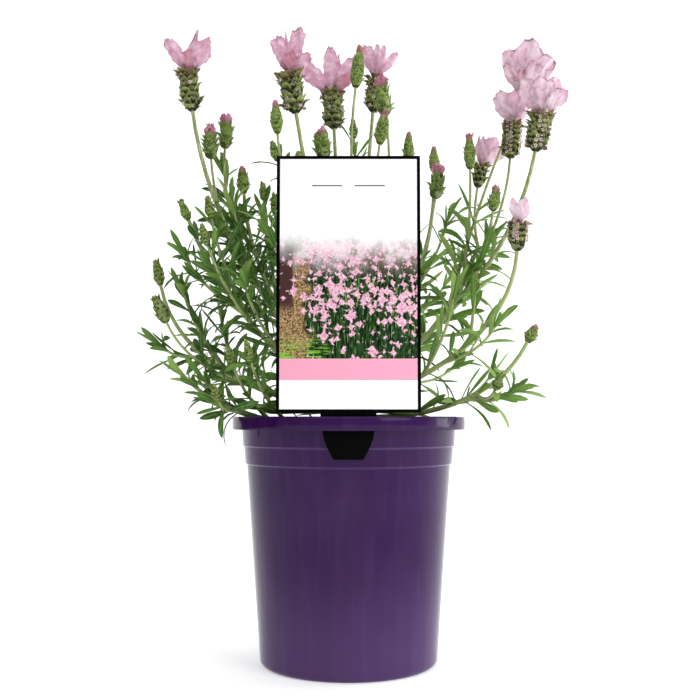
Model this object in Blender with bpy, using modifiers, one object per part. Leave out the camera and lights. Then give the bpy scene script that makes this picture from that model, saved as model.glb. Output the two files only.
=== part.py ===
"""A potted lavender: a round nursery pot with its potting mix and lock-in label, and the plant as a woody
base, leafy branches, flower spikes, their crowns of petals, and buds.

Metres, +Z up. The origin is the centre of the pot's flat underside, and the label faces -Y.
Sizes below are in millimetres and pass through MM where a mesh is made.
"""

import math
import random

import bmesh
import bpy
import numpy as np
from mathutils import Matrix, Vector

MM = 0.001
GAP = 0.3  # left between pieces that touch
UP = Vector((0, 0, 1))

# Pot
POT_HEIGHT = 172
RIM_RADIUS = 82.5
RIM_SKIRT = 9
WALL = 1.4
FLOOR = 2
BASE_RADIUS = 62
BASE_FILLET = 4
RIM_EDGE = 0.8
LOW_STEP = POT_HEIGHT - 33.5  # height of the lower of the two steps in the wall
HIGH_STEP = POT_HEIGHT - 21
STEP_RISE = 0.8
STEP_INSIDE = 0.4  # the same steps on the inner face sit this much higher
LOW_STEP_RADII = (72.0, 73.2)  # outer radius just under and just over the step
HIGH_STEP_RADII = (74.2, 75.1)
NECK_RADIUS = 76  # outer radius where the wall meets the rim
POT_SIDES = 36
DRAIN_HOLES = 6
DRAIN_RADIUS = 5
DRAIN_CIRCLE = 42

# Potting mix
SOIL_LEVEL = POT_HEIGHT - 9
SOIL_DOME = 3
POCKET_RADIUS = 8.6
POCKET_FLOOR = 150

# Label: a card on a neck that passes through a slot in the rim and ends in a tapered foot
LABEL_Y = -77.4
LABEL_WIDTH = 93
LABEL_BOTTOM = 174.5
LABEL_TOP = 341
LABEL_THICKNESS = 0.8
NECK_WIDTH = 36
FOOT_WIDTH = 33
FOOT_TIP_WIDTH = 19
FOOT_BOTTOM = 144.5
SLOT_WIDTH = 38.5
SLOT_THICKNESS = 1.8

# Woody base
TRUNK_RADIUS = 9.5
TRUNK_TOP = 204

# Heads: foot of the head (x, y, z), lean to the right and to the back in degrees, length and width.
# An open flower also has the length and the spread in degrees of its crown of petals.
OPEN_FLOWERS = {
    1: ((-112, -10, 391), (-8, 0), (31, 16), (25, 30)),
    2: ((-37, -25, 385), (-10, -3), (30, 18), (31, 16)),
    3: ((-11, 25, 388), (-3, 4), (29, 17), (35, 36)),
    4: ((19, 60, 411), (5, 6), (31, 15), (27, 26)),
    5: ((120, 22, 387), (23, 6), (29, 14), (37, 26)),
    6: ((117, -1, 359), (5, 4), (27, 14), (27, 26)),
    7: ((131, -24, 358), (10, -6), (28, 17), (26, 38)),
    8: ((98, 37, 346), (11, 8), (19, 12), (23, 30)),
    9: ((115, -40, 285), (3, -4), (20, 14), (17, 14)),
    10: ((-38, 98, 332), (-8, 14), (28, 15), (25, 28)),
    11: ((34, 104, 318), (6, 12), (27, 15), (26, 24)),
}
HALF_OPEN = {
    1: ((-92, 18, 371), (3, 4), (22, 11)),
    2: ((-100, 2, 359), (-3, -6), (22, 12)),
    3: ((66, 40, 338), (9, 4), (23, 13)),
    4: ((-18, 8, 361), (-8, -2), (20, 14)),
    5: ((28, 34, 401), (-9, -4), (26, 14)),
}
BUDS = {
    1: ((5, -4, 410), (7, -4), (29, 12)),
    2: ((-49, -37, 367), (-4, -5), (22, 10)),
    3: ((23, 14, 373), (9, -4), (25, 12)),
    4: ((46, 50, 368), (2, 6), (25, 10)),
    5: ((67, 61, 363), (0, 8), (21, 9)),
    6: ((89, 8, 353), (-1, 0), (26, 10)),
    7: ((102, -17, 317), (8, -4), (17, 10)),
    8: ((123, -30, 223), (26, -8), (12, 10)),
    9: ((-79, 31, 340), (-5, 5), (20, 11)),
    10: ((-139, 20, 269), (-12, 4), (19, 10)),
    11: ((-128, -15, 238), (-24, -6), (20, 13)),
}

# Branches: the side of the trunk they leave from (degrees from +X) and how high, then the heads they bear,
# the first on the leader and the others on forks. A branch that bears none has a leafy leader.
BRANCHES = {
    "left_tall": ((180, 190), ["flower_01", "half_open_02", "half_open_01"]),
    "left_back": ((140, 186), ["bud_09"]),
    "left_low": ((170, 177), ["bud_10", "bud_11"]),
    "left_front": ((214, 180), []),
    "left_rim": ((232, 170), []),
    "centre_left": ((234, 196), ["flower_02", "bud_02"]),
    "centre": ((112, 198), ["flower_03", "half_open_04"]),
    "centre_right": ((62, 200), ["flower_04", "half_open_05", "bud_01", "bud_03"]),
    "right_back": ((36, 186), ["bud_05", "bud_04", "half_open_03"]),
    "right_tall": ((2, 192), ["flower_07", "flower_06", "flower_05", "bud_06", "bud_07", "flower_08"]),
    "right_mid": ((-24, 184), ["flower_09"]),
    "right_rim": ((-20, 171), ["bud_08"]),
    "back_left": ((112, 178), ["flower_10"]),
    "back_right": ((70, 180), ["flower_11"]),
    "front": ((-80, 178), []),
}
FORK_FIRST = 0.30  # share of the leader's length at its first fork
FORK_STEP = 0.07

# Side shoots: branch, share of the leader where they fork (0 is the trunk), tip (x, y, z), what ends them
SIDE_SHOOTS = [
    ("left_tall", 0.50, (-94, 30, 357), "bud"),
    ("left_tall", 0.26, (-98, 6, 276), "leaves"),
    ("left_tall", 0.40, (-82, -14, 322), "leaves"),
    ("left_back", 0.45, (-66, 57, 340), "bud"),
    ("left_back", 0.34, (-58, 66, 334), "bud"),
    ("left_back", 0.25, (-84, 72, 288), "leaves"),
    ("left_back", 0.50, (-78, 34, 322), "leaves"),
    ("left_front", 0.0, (-111, -30, 308), "bud"),
    ("left_front", 0.50, (-93, -46, 306), "bud"),
    ("left_front", 0.38, (-94, -54, 286), "bud"),
    ("left_front", 0.28, (-70, -52, 262), "leaves"),
    ("left_front", 0.55, (-114, -24, 284), "leaves"),
    ("left_low", 0.45, (-101, 42, 272), "bud"),
    ("left_low", 0.62, (-134, 4, 222), "leaves"),
    ("left_low", 0.36, (-112, 46, 236), "leaves"),
    ("left_low", 0.52, (-118, -8, 262), "leaves"),
    ("left_rim", 0.0, (-110, -38, 198), "leaves"),
    ("left_rim", 0.34, (-64, -60, 208), "bud"),
    ("left_rim", 0.45, (-77, -47, 206), "bud"),
    ("left_rim", 0.66, (-86, -52, 182), "bud"),
    ("left_rim", 0.52, (-100, -18, 196), "leaves"),
    ("centre_left", 0.60, (-50, -20, 352), "bud"),
    ("centre_left", 0.52, (-33, -34, 340), "bud"),
    ("centre_left", 0.30, (-56, -46, 300), "leaves"),
    ("centre", 0.58, (-3, 36, 355), "bud"),
    ("centre", 0.34, (-26, 50, 300), "leaves"),
    ("centre_right", 0.55, (4, 46, 386), "bud"),
    ("centre_right", 0.36, (22, 52, 304), "leaves"),
    ("right_back", 0.30, (84, 64, 292), "leaves"),
    ("right_back", 0.45, (74, 26, 318), "leaves"),
    ("right_tall", 0.30, (88, 12, 270), "leaves"),
    ("right_tall", 0.42, (100, 4, 300), "leaves"),
    ("right_mid", 0.55, (88, -22, 258), "bud"),
    ("right_mid", 0.40, (98, -50, 232), "leaves"),
    ("right_mid", 0.30, (70, -56, 250), "leaves"),
    ("right_rim", 0.62, (97, -56, 190), "bud"),
    ("right_rim", 0.45, (104, 8, 204), "leaves"),
    ("right_rim", 0.56, (112, -36, 190), "leaves"),
    ("back_left", 0.55, (-58, 100, 296), "bud"),
    ("back_left", 0.45, (-14, 112, 290), "bud"),
    ("back_left", 0.30, (-50, 104, 236), "leaves"),
    ("back_left", 0.22, (-76, 84, 214), "leaves"),
    ("back_right", 0.55, (58, 98, 284), "bud"),
    ("back_right", 0.45, (12, 118, 262), "bud"),
    ("back_right", 0.30, (56, 100, 232), "leaves"),
    ("back_right", 0.22, (84, 78, 212), "leaves"),
    ("front", 0.0, (8, -56, 268), "leaves"),
    ("front", 0.45, (-26, -58, 236), "leaves"),
    ("front", 0.35, (34, -58, 226), "leaves"),
]

# Stems and leaves
STEM_BOW = 0.6  # 0 is a straight stem, 1 an even arc from the trunk to the head
STEM_REACH = 0.36
LEADER_RADII = (2.1, 1.3)
SIDE_RADII = (1.3, 0.9)
STEM_POINTS = 6
YOUNG_BUD = (13, 8)  # length and width
SHOOT_UPTURN = 0.8  # how far a side shoot's tip turns up towards the light
# Share of a stem's length where its leaves start and end
FLOWER_LEADER_LEAVES = (0.12, 0.62)
FLOWER_FORK_LEAVES = (0.15, 0.55)
LEAFY_LEADER_LEAVES = (0.15, 0.9)
SIDE_SHOOT_LEAVES = (0.2, 0.92)
LEAF_PITCH = 10.5  # between one pair of leaves and the next
LEAF_EVERY = 4  # of the plant's pairs, one in this many is modelled as solid blades
LEAF_LENGTH = 36
LEAF_WIDTH = 4.6
LEAF_THICKNESS = 0.9
LEAF_CLEAR = 0.6


def vec(xyz):
    return Vector(xyz) * MM


def heads():
    """Every head by name, as (foot, axis, length, width), in metres."""
    found = {}
    for prefix, table in (("flower", OPEN_FLOWERS), ("half_open", HALF_OPEN), ("bud", BUDS)):
        for number, (foot, (right, back), (length, width), *_) in table.items():
            axis = Vector((math.tan(math.radians(right)), math.tan(math.radians(back)), 1)).normalized()
            found[f"{prefix}_{number:02d}"] = (vec(foot), axis, length * MM, width * MM)
    return found


# --- collections, materials and objects ---------------------------------------------------------------


def clear_scene():
    for old in list(bpy.data.objects):
        bpy.data.objects.remove(old)


def collection(name):
    made = bpy.data.collections.new(name)
    bpy.context.scene.collection.children.link(made)
    return made


def material(name, rgb, roughness):
    made = bpy.data.materials.new(name)
    made.use_nodes = True
    shader = made.node_tree.nodes["Principled BSDF"]
    shader.inputs["Base Color"].default_value = (*rgb, 1)
    shader.inputs["Roughness"].default_value = roughness
    shader.inputs["Metallic"].default_value = 0
    return made


def add_object(name, data, finish, where):
    obj = bpy.data.objects.new(name, data)
    where.objects.link(obj)
    if finish:
        data.materials.append(finish)
    return obj


def hide_helper(obj):
    obj.hide_render = True
    obj.display_type = "WIRE"
    return obj


def boolean(obj, other, operation):
    """Cuts obj with an object, or joins it with an object or with every object of a collection."""
    modifier = obj.modifiers.new(operation.lower(), "BOOLEAN")
    modifier.operation = operation
    modifier.solver = "EXACT"
    if isinstance(other, bpy.types.Collection):
        modifier.operand_type = "COLLECTION"
        modifier.collection = other
    else:
        modifier.object = other


def mesh_of(name, bm):
    mesh = bpy.data.meshes.new(name)
    bm.to_mesh(mesh)
    bm.free()
    return mesh


def turned(name, profile, sides, finish, where):
    """A solid of revolution about Z from a profile in millimetres that ends on the axis at both ends."""
    mesh = bpy.data.meshes.new(name)
    points = [(r * MM, 0, z * MM) for r, z in profile]
    mesh.from_pydata(points, [(i, i + 1) for i in range(len(points) - 1)], [])
    obj = add_object(name, mesh, finish, where)
    screw = obj.modifiers.new("turn", "SCREW")
    screw.steps = screw.render_steps = sides
    screw.use_merge_vertices = True
    screw.merge_threshold = 0.00001
    screw.use_smooth_shade = True
    return obj


# --- pot, potting mix, label and woody base -----------------------------------------------------------


def inner_wall():
    """Inner face of the pot's wall, from its floor up to just under the rim."""
    return [
        (BASE_RADIUS - WALL - BASE_FILLET, FLOOR),
        (BASE_RADIUS - WALL, FLOOR + BASE_FILLET),
        (LOW_STEP_RADII[0] - WALL, LOW_STEP + STEP_INSIDE),
        (LOW_STEP_RADII[1] - WALL, LOW_STEP + STEP_INSIDE + STEP_RISE),
        (HIGH_STEP_RADII[0] - WALL, HIGH_STEP + STEP_INSIDE),
        (HIGH_STEP_RADII[1] - WALL, HIGH_STEP + STEP_INSIDE + STEP_RISE),
    ]


def pot_profile():
    """From the floor's middle, up the inside, over the rim and its skirt, and down the outside."""
    skirt = POT_HEIGHT - RIM_SKIRT
    return [
        (0, FLOOR),
        *inner_wall(),
        (NECK_RADIUS - WALL, POT_HEIGHT - RIM_EDGE),
        (NECK_RADIUS - WALL + RIM_EDGE, POT_HEIGHT),
        (RIM_RADIUS - RIM_EDGE, POT_HEIGHT),
        (RIM_RADIUS, POT_HEIGHT - RIM_EDGE),
        (RIM_RADIUS, skirt),
        (RIM_RADIUS - WALL, skirt),
        (RIM_RADIUS - WALL, POT_HEIGHT - WALL),
        (NECK_RADIUS, POT_HEIGHT - WALL),
        (HIGH_STEP_RADII[1], HIGH_STEP + STEP_RISE),
        (HIGH_STEP_RADII[0], HIGH_STEP),
        (LOW_STEP_RADII[1], LOW_STEP + STEP_RISE),
        (LOW_STEP_RADII[0], LOW_STEP),
        (BASE_RADIUS + 0.3, BASE_FILLET),
        (BASE_RADIUS - 1, BASE_FILLET * 0.3),
        (BASE_RADIUS - BASE_FILLET, 0),
        (0, 0),
    ]


def make_pot(finish, parts, helpers):
    pot = turned("pot", pot_profile(), POT_SIDES, finish, parts)
    holes = bmesh.new()
    for i in range(DRAIN_HOLES):
        turn = Matrix.Rotation(math.tau * (i + 0.5) / DRAIN_HOLES, 4, "Z")
        place = turn @ Matrix.Translation(vec((DRAIN_CIRCLE, 0, FLOOR / 2)))
        bmesh.ops.create_cone(
            holes,
            cap_ends=True,
            segments=8,
            radius1=DRAIN_RADIUS * MM,
            radius2=DRAIN_RADIUS * MM,
            depth=4 * FLOOR * MM,
            matrix=place,
        )
    drains = add_object("drain_holes", mesh_of("drain_holes", holes), None, helpers)
    boolean(pot, hide_helper(drains), "DIFFERENCE")
    slot = bmesh.new()
    through = 6 * WALL
    size = Matrix.Diagonal((SLOT_WIDTH * MM, SLOT_THICKNESS * MM, through * MM, 1))
    bmesh.ops.create_cube(slot, size=1, matrix=Matrix.Translation(vec((0, LABEL_Y, POT_HEIGHT))) @ size)
    cutter = add_object("label_slot", mesh_of("label_slot", slot), None, helpers)
    boolean(pot, hide_helper(cutter), "DIFFERENCE")


def make_soil(finish, parts):
    wall = [(r - GAP, z) for r, z in inner_wall()]
    top = (NECK_RADIUS - WALL - GAP - 0.5, SOIL_LEVEL)
    profile = [
        (0, POCKET_FLOOR),
        (POCKET_RADIUS, POCKET_FLOOR),
        (POCKET_RADIUS, SOIL_LEVEL + SOIL_DOME),
        (35, SOIL_LEVEL + SOIL_DOME - 0.6),
        (60, SOIL_LEVEL + 1),
        top,
        *reversed(wall[1:]),
        (wall[0][0], FLOOR + GAP),
        (0, FLOOR + GAP),
    ]
    turned("potting_mix", profile, 24, finish, parts)


def make_label(finish, parts):
    """Card, neck and foot as one flat outline, symmetric about x = 0, extruded to its thickness."""
    under_rim = POT_HEIGHT - WALL
    right = [
        (FOOT_TIP_WIDTH / 2, FOOT_BOTTOM),
        (FOOT_WIDTH * 0.42, FOOT_BOTTOM + 8),
        (FOOT_WIDTH / 2, FOOT_BOTTOM + 17),
        (FOOT_WIDTH / 2, under_rim - 2.5),
        (NECK_WIDTH / 2, under_rim - 1),
        (NECK_WIDTH / 2, LABEL_BOTTOM),
        (LABEL_WIDTH / 2, LABEL_BOTTOM),
        (LABEL_WIDTH / 2, LABEL_TOP),
    ]
    outline = right + [(-x, z) for x, z in reversed(right)]
    curve = bpy.data.curves.new("plant_label", "CURVE")
    curve.dimensions = "2D"
    curve.fill_mode = "BOTH"
    curve.extrude = LABEL_THICKNESS / 2 * MM
    spline = curve.splines.new("POLY")
    spline.points.add(len(outline) - 1)
    for point, (x, z) in zip(spline.points, outline):
        point.co = (x * MM, z * MM, 0, 1)
    spline.use_cyclic_u = True
    label = add_object("plant_label", curve, finish, parts)
    label.location = vec((0, LABEL_Y, 0))
    label.rotation_euler = (math.radians(90), 0, 0)


def make_woody_base(finish, parts):
    r = TRUNK_RADIUS
    bottom = POCKET_FLOOR + GAP
    profile = [
        (0, TRUNK_TOP),
        (r * 0.55, TRUNK_TOP - 0.5),
        (r * 0.9, TRUNK_TOP - 4),
        (r, TRUNK_TOP - 14),
        (r * 0.92, TRUNK_TOP - 26),
        (r, SOIL_LEVEL + SOIL_DOME + 5),
        (POCKET_RADIUS - GAP, SOIL_LEVEL + SOIL_DOME),
        (POCKET_RADIUS - GAP, bottom),
        (0, bottom),
    ]
    turned("woody_base", profile, 12, finish, parts)


# --- heads --------------------------------------------------------------------------------------------


def spike_profile(length, width, pointed):
    """Barrel of a flower spike, or the pointed barrel of a bud, from its tip down to its foot."""
    r = width / 2
    foot = [(r * 0.72, length * 0.12), (1.6, 0), (0, 0)]
    if pointed:
        return [(0, length), (r * 0.55, length * 0.74), (r, length * 0.36), *foot]
    return [(0, length), (r * 0.62, length), (r * 0.94, length * 0.8), (r, length * 0.3), *foot]


def frame_at(point, axis):
    """Matrix that stands a shape made along +Z on a point, along an axis."""
    return Matrix.Translation(point) @ axis.to_track_quat("Z", "Y").to_matrix().to_4x4()


def make_head(name, head, pointed, finish, parts):
    foot, axis, length, width = head
    obj = turned(name, spike_profile(length / MM, width / MM, pointed), 8, finish, parts)
    obj.matrix_world = frame_at(foot, axis)


def blade(bm, place, length, width, thickness, bend):
    """A leaf or petal as a thin lens, 16 triangles, growing along +Z of its place and bent towards -Y."""
    made = bmesh.ops.create_uvsphere(bm, u_segments=4, v_segments=3, radius=0.5)
    for vert in made["verts"]:
        share = vert.co.z + 0.5
        vert.co.x *= width
        vert.co.y = vert.co.y * thickness - bend * length * share * share
        vert.co.z = share * length
    bmesh.ops.transform(bm, matrix=place, verts=made["verts"])


def make_petals(name, head, crown, finish, parts, helpers):
    """A crown of four broad petals and a narrow inner one, rising from a small cup on top of the spike."""
    foot, axis, length, _ = head
    petal_length, spread = crown
    cup = turned(name, [(0, 3.2), (3.6, 2.2), (3, 0), (0, 0)], 6, finish, parts)
    cup.matrix_world = frame_at(foot + axis * (length + GAP * MM), axis)
    bm = bmesh.new()
    size = petal_length * MM
    for i in range(4):
        tilt = Matrix.Rotation(-math.radians(spread), 4, "X")
        turn = Matrix.Rotation(math.tau * i / 4 + math.radians(spread), 4, "Z")
        blade(bm, turn @ Matrix.Translation(vec((0, 2, 1))) @ tilt, size, size * 0.42, 1.2 * MM, -0.05)
    across = Matrix.Rotation(math.radians(spread + 45), 4, "Z")
    blade(bm, across @ Matrix.Translation(vec((0, 0, 1))), size * 0.7, size * 0.24, 1.2 * MM, 0)
    blades = add_object(name + "_blades", mesh_of(name + "_blades", bm), None, helpers)
    blades.matrix_world = cup.matrix_world
    boolean(cup, hide_helper(blades), "UNION")


# --- branches -----------------------------------------------------------------------------------------


def stem_route(start, end, end_axis):
    """Points of a stem that leaves start, bows outwards, and arrives at end along end_axis."""
    chord = end - start
    along = chord.normalized()
    mirrored = 2 * along.dot(end_axis) * along - end_axis
    first = along.lerp(mirrored, STEM_BOW).normalized()
    reach = chord.length * STEM_REACH
    a, b, c, d = start, start + first * reach, end - end_axis * reach, end
    route = []
    for i in range(STEM_POINTS):
        t = i / (STEM_POINTS - 1)
        s = 1 - t
        route.append(a * s**3 + b * (3 * s * s * t) + c * (3 * s * t * t) + d * t**3)
    return route


def at_share(route, share):
    """Point and direction at a share of a route's length."""
    lengths = [(b - a).length for a, b in zip(route, route[1:])]
    left = share * sum(lengths)
    for a, b, length in zip(route, route[1:], lengths):
        if left <= length:
            break
        left -= length
    return a.lerp(b, min(1, left / length)), (b - a).normalized()


def trunk_start(side, height, towards):
    """Where a branch leaves the trunk, clear of its bark."""
    out = Vector((math.cos(math.radians(side)), math.sin(math.radians(side)), 0))
    tilt = max(0.0, (towards - vec((0, 0, height))).normalized().z)
    return out * (TRUNK_RADIUS + 0.6 + LEADER_RADII[0] * tilt) * MM + UP * height * MM


def shoot_axis(start, tip):
    """Side shoots turn up towards the light at their tips."""
    return ((tip - start).normalized() + UP * SHOOT_UPTURN).normalized()


def branch_stems(name, all_heads):
    """The stems of one branch, leader first: (route, radii, what ends it, where its leaves start and end)."""
    (side, height), borne = BRANCHES[name]
    shoots = [s for s in SIDE_SHOOTS if s[0] == name]
    stems = []
    if borne:
        foot, axis, *_ = all_heads[borne[0]]
        end = foot - axis * GAP * MM
        route = stem_route(trunk_start(side, height, end), end, axis)
        stems.append((route, LEADER_RADII, "head", FLOWER_LEADER_LEAVES))
    else:
        tip = vec(shoots[0][2])
        start = trunk_start(side, height, tip)
        route = stem_route(start, tip, shoot_axis(start, tip))
        stems.append((route, LEADER_RADII, shoots[0][3], LEAFY_LEADER_LEAVES))
        shoots = shoots[1:]
    leader = stems[0][0]
    for i, head_name in enumerate(borne[1:]):
        foot, axis, *_ = all_heads[head_name]
        start = at_share(leader, FORK_FIRST + FORK_STEP * i)[0]
        route = stem_route(start, foot - axis * GAP * MM, axis)
        stems.append((route, SIDE_RADII, "head", FLOWER_FORK_LEAVES))
    for _, share, tip, ending in shoots:
        start = at_share(leader, share)[0]
        route = stem_route(start, vec(tip), shoot_axis(start, vec(tip)))
        stems.append((route, SIDE_RADII, ending, SIDE_SHOOT_LEAVES))
    return stems


def leaf_places(route, zone, seed):
    """Opposite pairs of leaves up a stem, each pair about a quarter turn from the last.

    Yields (pair's number, foot of the leaf, direction, which way its upper face looks, length).
    """
    dice = random.Random(seed)
    total = sum((b - a).length for a, b in zip(route, route[1:])) / MM
    first, last = zone
    pairs = max(2, round((last - first) * total / LEAF_PITCH))
    for i in range(pairs + 1):
        share = first + (last - first) * i / pairs
        foot, along = at_share(route, share)
        side = along.cross(UP + Vector((0.01, 0, 0))).normalized()
        turn = math.radians(90 * i + dice.uniform(-25, 25))
        for half in (0, math.pi):
            around = Matrix.Rotation(turn + half, 3, along) @ side
            lean = math.radians(dice.uniform(32, 58) - 12 * share)
            length = LEAF_LENGTH * dice.uniform(0.7, 1.15) * (1 - 0.35 * share)
            towards = along * math.cos(lean) + around * math.sin(lean)
            upper = (along - towards * along.dot(towards)).normalized()
            yield i, foot, towards, upper, length


class Occupied:
    """Balls along every stem, head and leaf, so that a new leaf can stay clear of other nodes' pieces."""

    def __init__(self):
        self.centres, self.radii, self.owners = [], [], []

    def add(self, points, radius, owner):
        for point in points:
            self.centres.append(tuple(point))
            self.radii.append(radius)
            self.owners.append(owner)

    def is_clear(self, points, radius, owner):
        centres = np.array(self.centres)
        room = np.array(self.radii) + radius + LEAF_CLEAR * MM
        others = np.array([o != owner for o in self.owners])
        for point in points:
            near = np.linalg.norm(centres - np.array(point), axis=1) < room
            if (near & others).any():
                return False
        return True


def clear_of_pot(points):
    """Above the rim and the potting mix, and behind the label's card or to its side."""
    for x, y, z in (p / MM for p in points):
        if z < (POT_HEIGHT + 3 if math.hypot(x, y) > NECK_RADIUS - 8 else SOIL_LEVEL + 6):
            return False
        if y < LABEL_Y + 6 and abs(x) < LABEL_WIDTH / 2 + 6 and z < LABEL_TOP + 6:
            return False
        if math.hypot(x, y) < TRUNK_RADIUS + 3 and z < TRUNK_TOP + 3:
            return False
    return True


def between(a, b, step):
    """Points from a to b, about a step apart."""
    count = max(1, math.ceil((b - a).length / step))
    return [a.lerp(b, i / count) for i in range(count + 1)]


def register_solids(stems, all_heads):
    """The room that stems, heads and crowns of petals take up, before any leaf is placed."""
    taken = Occupied()
    for name, branch in stems.items():
        for route, radii, ending, _ in branch:
            for a, b in zip(route, route[1:]):
                taken.add(between(a, b, 2 * MM), radii[0] * MM, name)
            if ending == "bud":
                taken.add(between(route[-1], route[-1] + UP * YOUNG_BUD[0] * MM, 2 * MM), 4.5 * MM, name)
    for name, (foot, axis, length, width) in all_heads.items():
        taken.add(between(foot, foot + axis * length, 3 * MM), width / 2, name)
    for number, (_, _, _, (petal_length, spread)) in OPEN_FLOWERS.items():
        foot, axis, length, _ = all_heads[f"flower_{number:02d}"]
        top = foot + axis * length
        half_width = petal_length * MM * (math.sin(math.radians(spread)) * 0.8 + 0.2)
        taken.add(between(top, top + axis * petal_length * MM, 3 * MM), half_width, f"petals_{number:02d}")
    return taken


def stem_mesh(name, route, radii):
    """A tapered round stem, from a bevelled curve with its caps welded on."""
    curve = bpy.data.curves.new(name, "CURVE")
    curve.dimensions = "3D"
    curve.bevel_depth = MM
    curve.bevel_resolution = 1
    curve.use_fill_caps = True
    spline = curve.splines.new("POLY")
    spline.points.add(len(route) - 1)
    for i, (point, place) in enumerate(zip(spline.points, route)):
        point.co = (*place, 1)
        point.radius = radii[0] + (radii[1] - radii[0]) * i / (len(route) - 1)
    guide = bpy.data.objects.new(name, curve)
    bpy.context.scene.collection.objects.link(guide)
    bpy.context.view_layer.update()
    mesh = bpy.data.meshes.new_from_object(guide.evaluated_get(bpy.context.evaluated_depsgraph_get()))
    bpy.data.objects.remove(guide)
    bm = bmesh.new()
    bm.from_mesh(mesh)
    bmesh.ops.remove_doubles(bm, verts=bm.verts, dist=0.00001)
    bmesh.ops.recalc_face_normals(bm, faces=bm.faces)
    bpy.data.meshes.remove(mesh)
    return mesh_of(name, bm)


def leaf_meshes(name, stem_number, stem, taken):
    """Solid blades for one pair of leaves in LEAF_EVERY, where they clear every other node."""
    route, _, ending, zone = stem
    for pair, foot, towards, upper, length in leaf_places(route, zone, f"{name} {stem_number}"):
        if pair % LEAF_EVERY:
            continue
        beyond = between(foot, foot + towards * length * MM, 3 * MM)[2:]
        if not (clear_of_pot(beyond) and taken.is_clear(beyond, LEAF_WIDTH / 2 * MM, name)):
            continue
        taken.add(beyond, LEAF_WIDTH / 2 * MM, name)
        turn = Matrix((towards.cross(upper), upper, towards)).transposed().to_4x4()
        bm = bmesh.new()
        place = Matrix.Translation(foot) @ turn
        blade(bm, place, length * MM, LEAF_WIDTH * MM, LEAF_THICKNESS * MM, 0.06)
        yield mesh_of("leaf", bm)


def young_bud_mesh(tip, axis):
    length, width = YOUNG_BUD
    bm = bmesh.new()
    bmesh.ops.create_uvsphere(bm, u_segments=6, v_segments=3, radius=0.5)
    for vert in bm.verts:
        vert.co = (vert.co.x * width * MM, vert.co.y * width * MM, (vert.co.z + 0.45) * length * MM)
    bmesh.ops.transform(bm, matrix=frame_at(tip, axis), verts=bm.verts)
    return mesh_of("young_bud", bm)


def make_branch(name, stems, taken, finish, parts, helpers):
    """The leader's stem, joined with its forks, side shoots, leaves and young buds."""
    branch = add_object(name, stem_mesh(name, *stems[0][:2]), finish, parts)
    twigs = bpy.data.collections.new(name + "_twigs")
    helpers.children.link(twigs)
    meshes = [stem_mesh("twig", *stem[:2]) for stem in stems[1:]]
    for number, stem in enumerate(stems):
        route, _, ending, _ = stem
        if ending == "bud":
            meshes.append(young_bud_mesh(route[-1], (route[-1] - route[-2]).normalized()))
        meshes.extend(leaf_meshes(name, number, stem, taken))
    for mesh in meshes:
        hide_helper(add_object(mesh.name, mesh, None, twigs))
    boolean(branch, twigs, "UNION")


def main():
    clear_scene()
    parts = collection("potted_lavender")
    helpers = collection("cutters")
    purple = material("purple_polypropylene", (0.075, 0.022, 0.13), 0.35)
    soil = material("potting_mix", (0.035, 0.022, 0.014), 0.95)
    card = material("label_card", (0.85, 0.85, 0.85), 0.4)
    bark = material("bark", (0.16, 0.11, 0.065), 0.9)
    leaf = material("lavender_green", (0.10, 0.20, 0.05), 0.6)
    calyx = material("calyx_green", (0.12, 0.22, 0.05), 0.6)
    pink = material("petal_pink", (0.72, 0.36, 0.55), 0.5)
    make_pot(purple, parts, helpers)
    make_soil(soil, parts)
    make_label(card, parts)
    make_woody_base(bark, parts)
    all_heads = heads()
    for name, head in all_heads.items():
        kind, number = name.rsplit("_", 1)
        if kind == "flower":
            make_head(f"flower_spike_{number}", head, False, calyx, parts)
            crown = OPEN_FLOWERS[int(number)][3]
            make_petals(f"flower_petals_{number}", head, crown, pink, parts, helpers)
        else:
            make_head(name, head, True, calyx, parts)
    stems = {name: branch_stems(name, all_heads) for name in BRANCHES}
    taken = register_solids(stems, all_heads)
    for name in BRANCHES:
        make_branch(f"branch_{name}", stems[name], taken, leaf, parts, helpers)


main()
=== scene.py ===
"""A flowering lavender in a round nursery pot, dressed on its CAD frame.

The frame gives the sizes and places. Each operator below makes one piece of the plant or one group of like
pieces, and the last one sets up the studio. Blender's lengths are metres. The tables and constants are in
millimetres and degrees unless their comment says otherwise, and MM turns millimetres into metres.
The origin is the centre of the pot's underside, +Z is up, and the label faces -Y.
"""

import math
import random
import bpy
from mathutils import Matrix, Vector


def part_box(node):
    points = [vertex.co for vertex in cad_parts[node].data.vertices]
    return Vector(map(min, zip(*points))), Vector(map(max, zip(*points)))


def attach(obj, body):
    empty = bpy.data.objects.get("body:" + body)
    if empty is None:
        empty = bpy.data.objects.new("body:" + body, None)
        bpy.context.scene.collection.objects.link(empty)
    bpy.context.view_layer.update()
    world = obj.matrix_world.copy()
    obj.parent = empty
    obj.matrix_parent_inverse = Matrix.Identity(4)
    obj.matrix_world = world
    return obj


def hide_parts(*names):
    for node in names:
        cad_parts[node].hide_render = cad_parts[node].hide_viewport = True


bl_info = {
    "name": "Potted Lavender",
    "version": (1, 0, 0),
    "blender": (4, 5, 0),
    "location": "View3D > Sidebar > Lavender",
    "description": "Builds a flowering lavender in a nursery pot with its label, and a studio round it",
    "category": "Add Mesh",
}

from typing import NamedTuple

import bpy
import numpy as np
from bpy.props import FloatProperty, FloatVectorProperty, PointerProperty
from mathutils import Matrix, Vector

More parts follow.
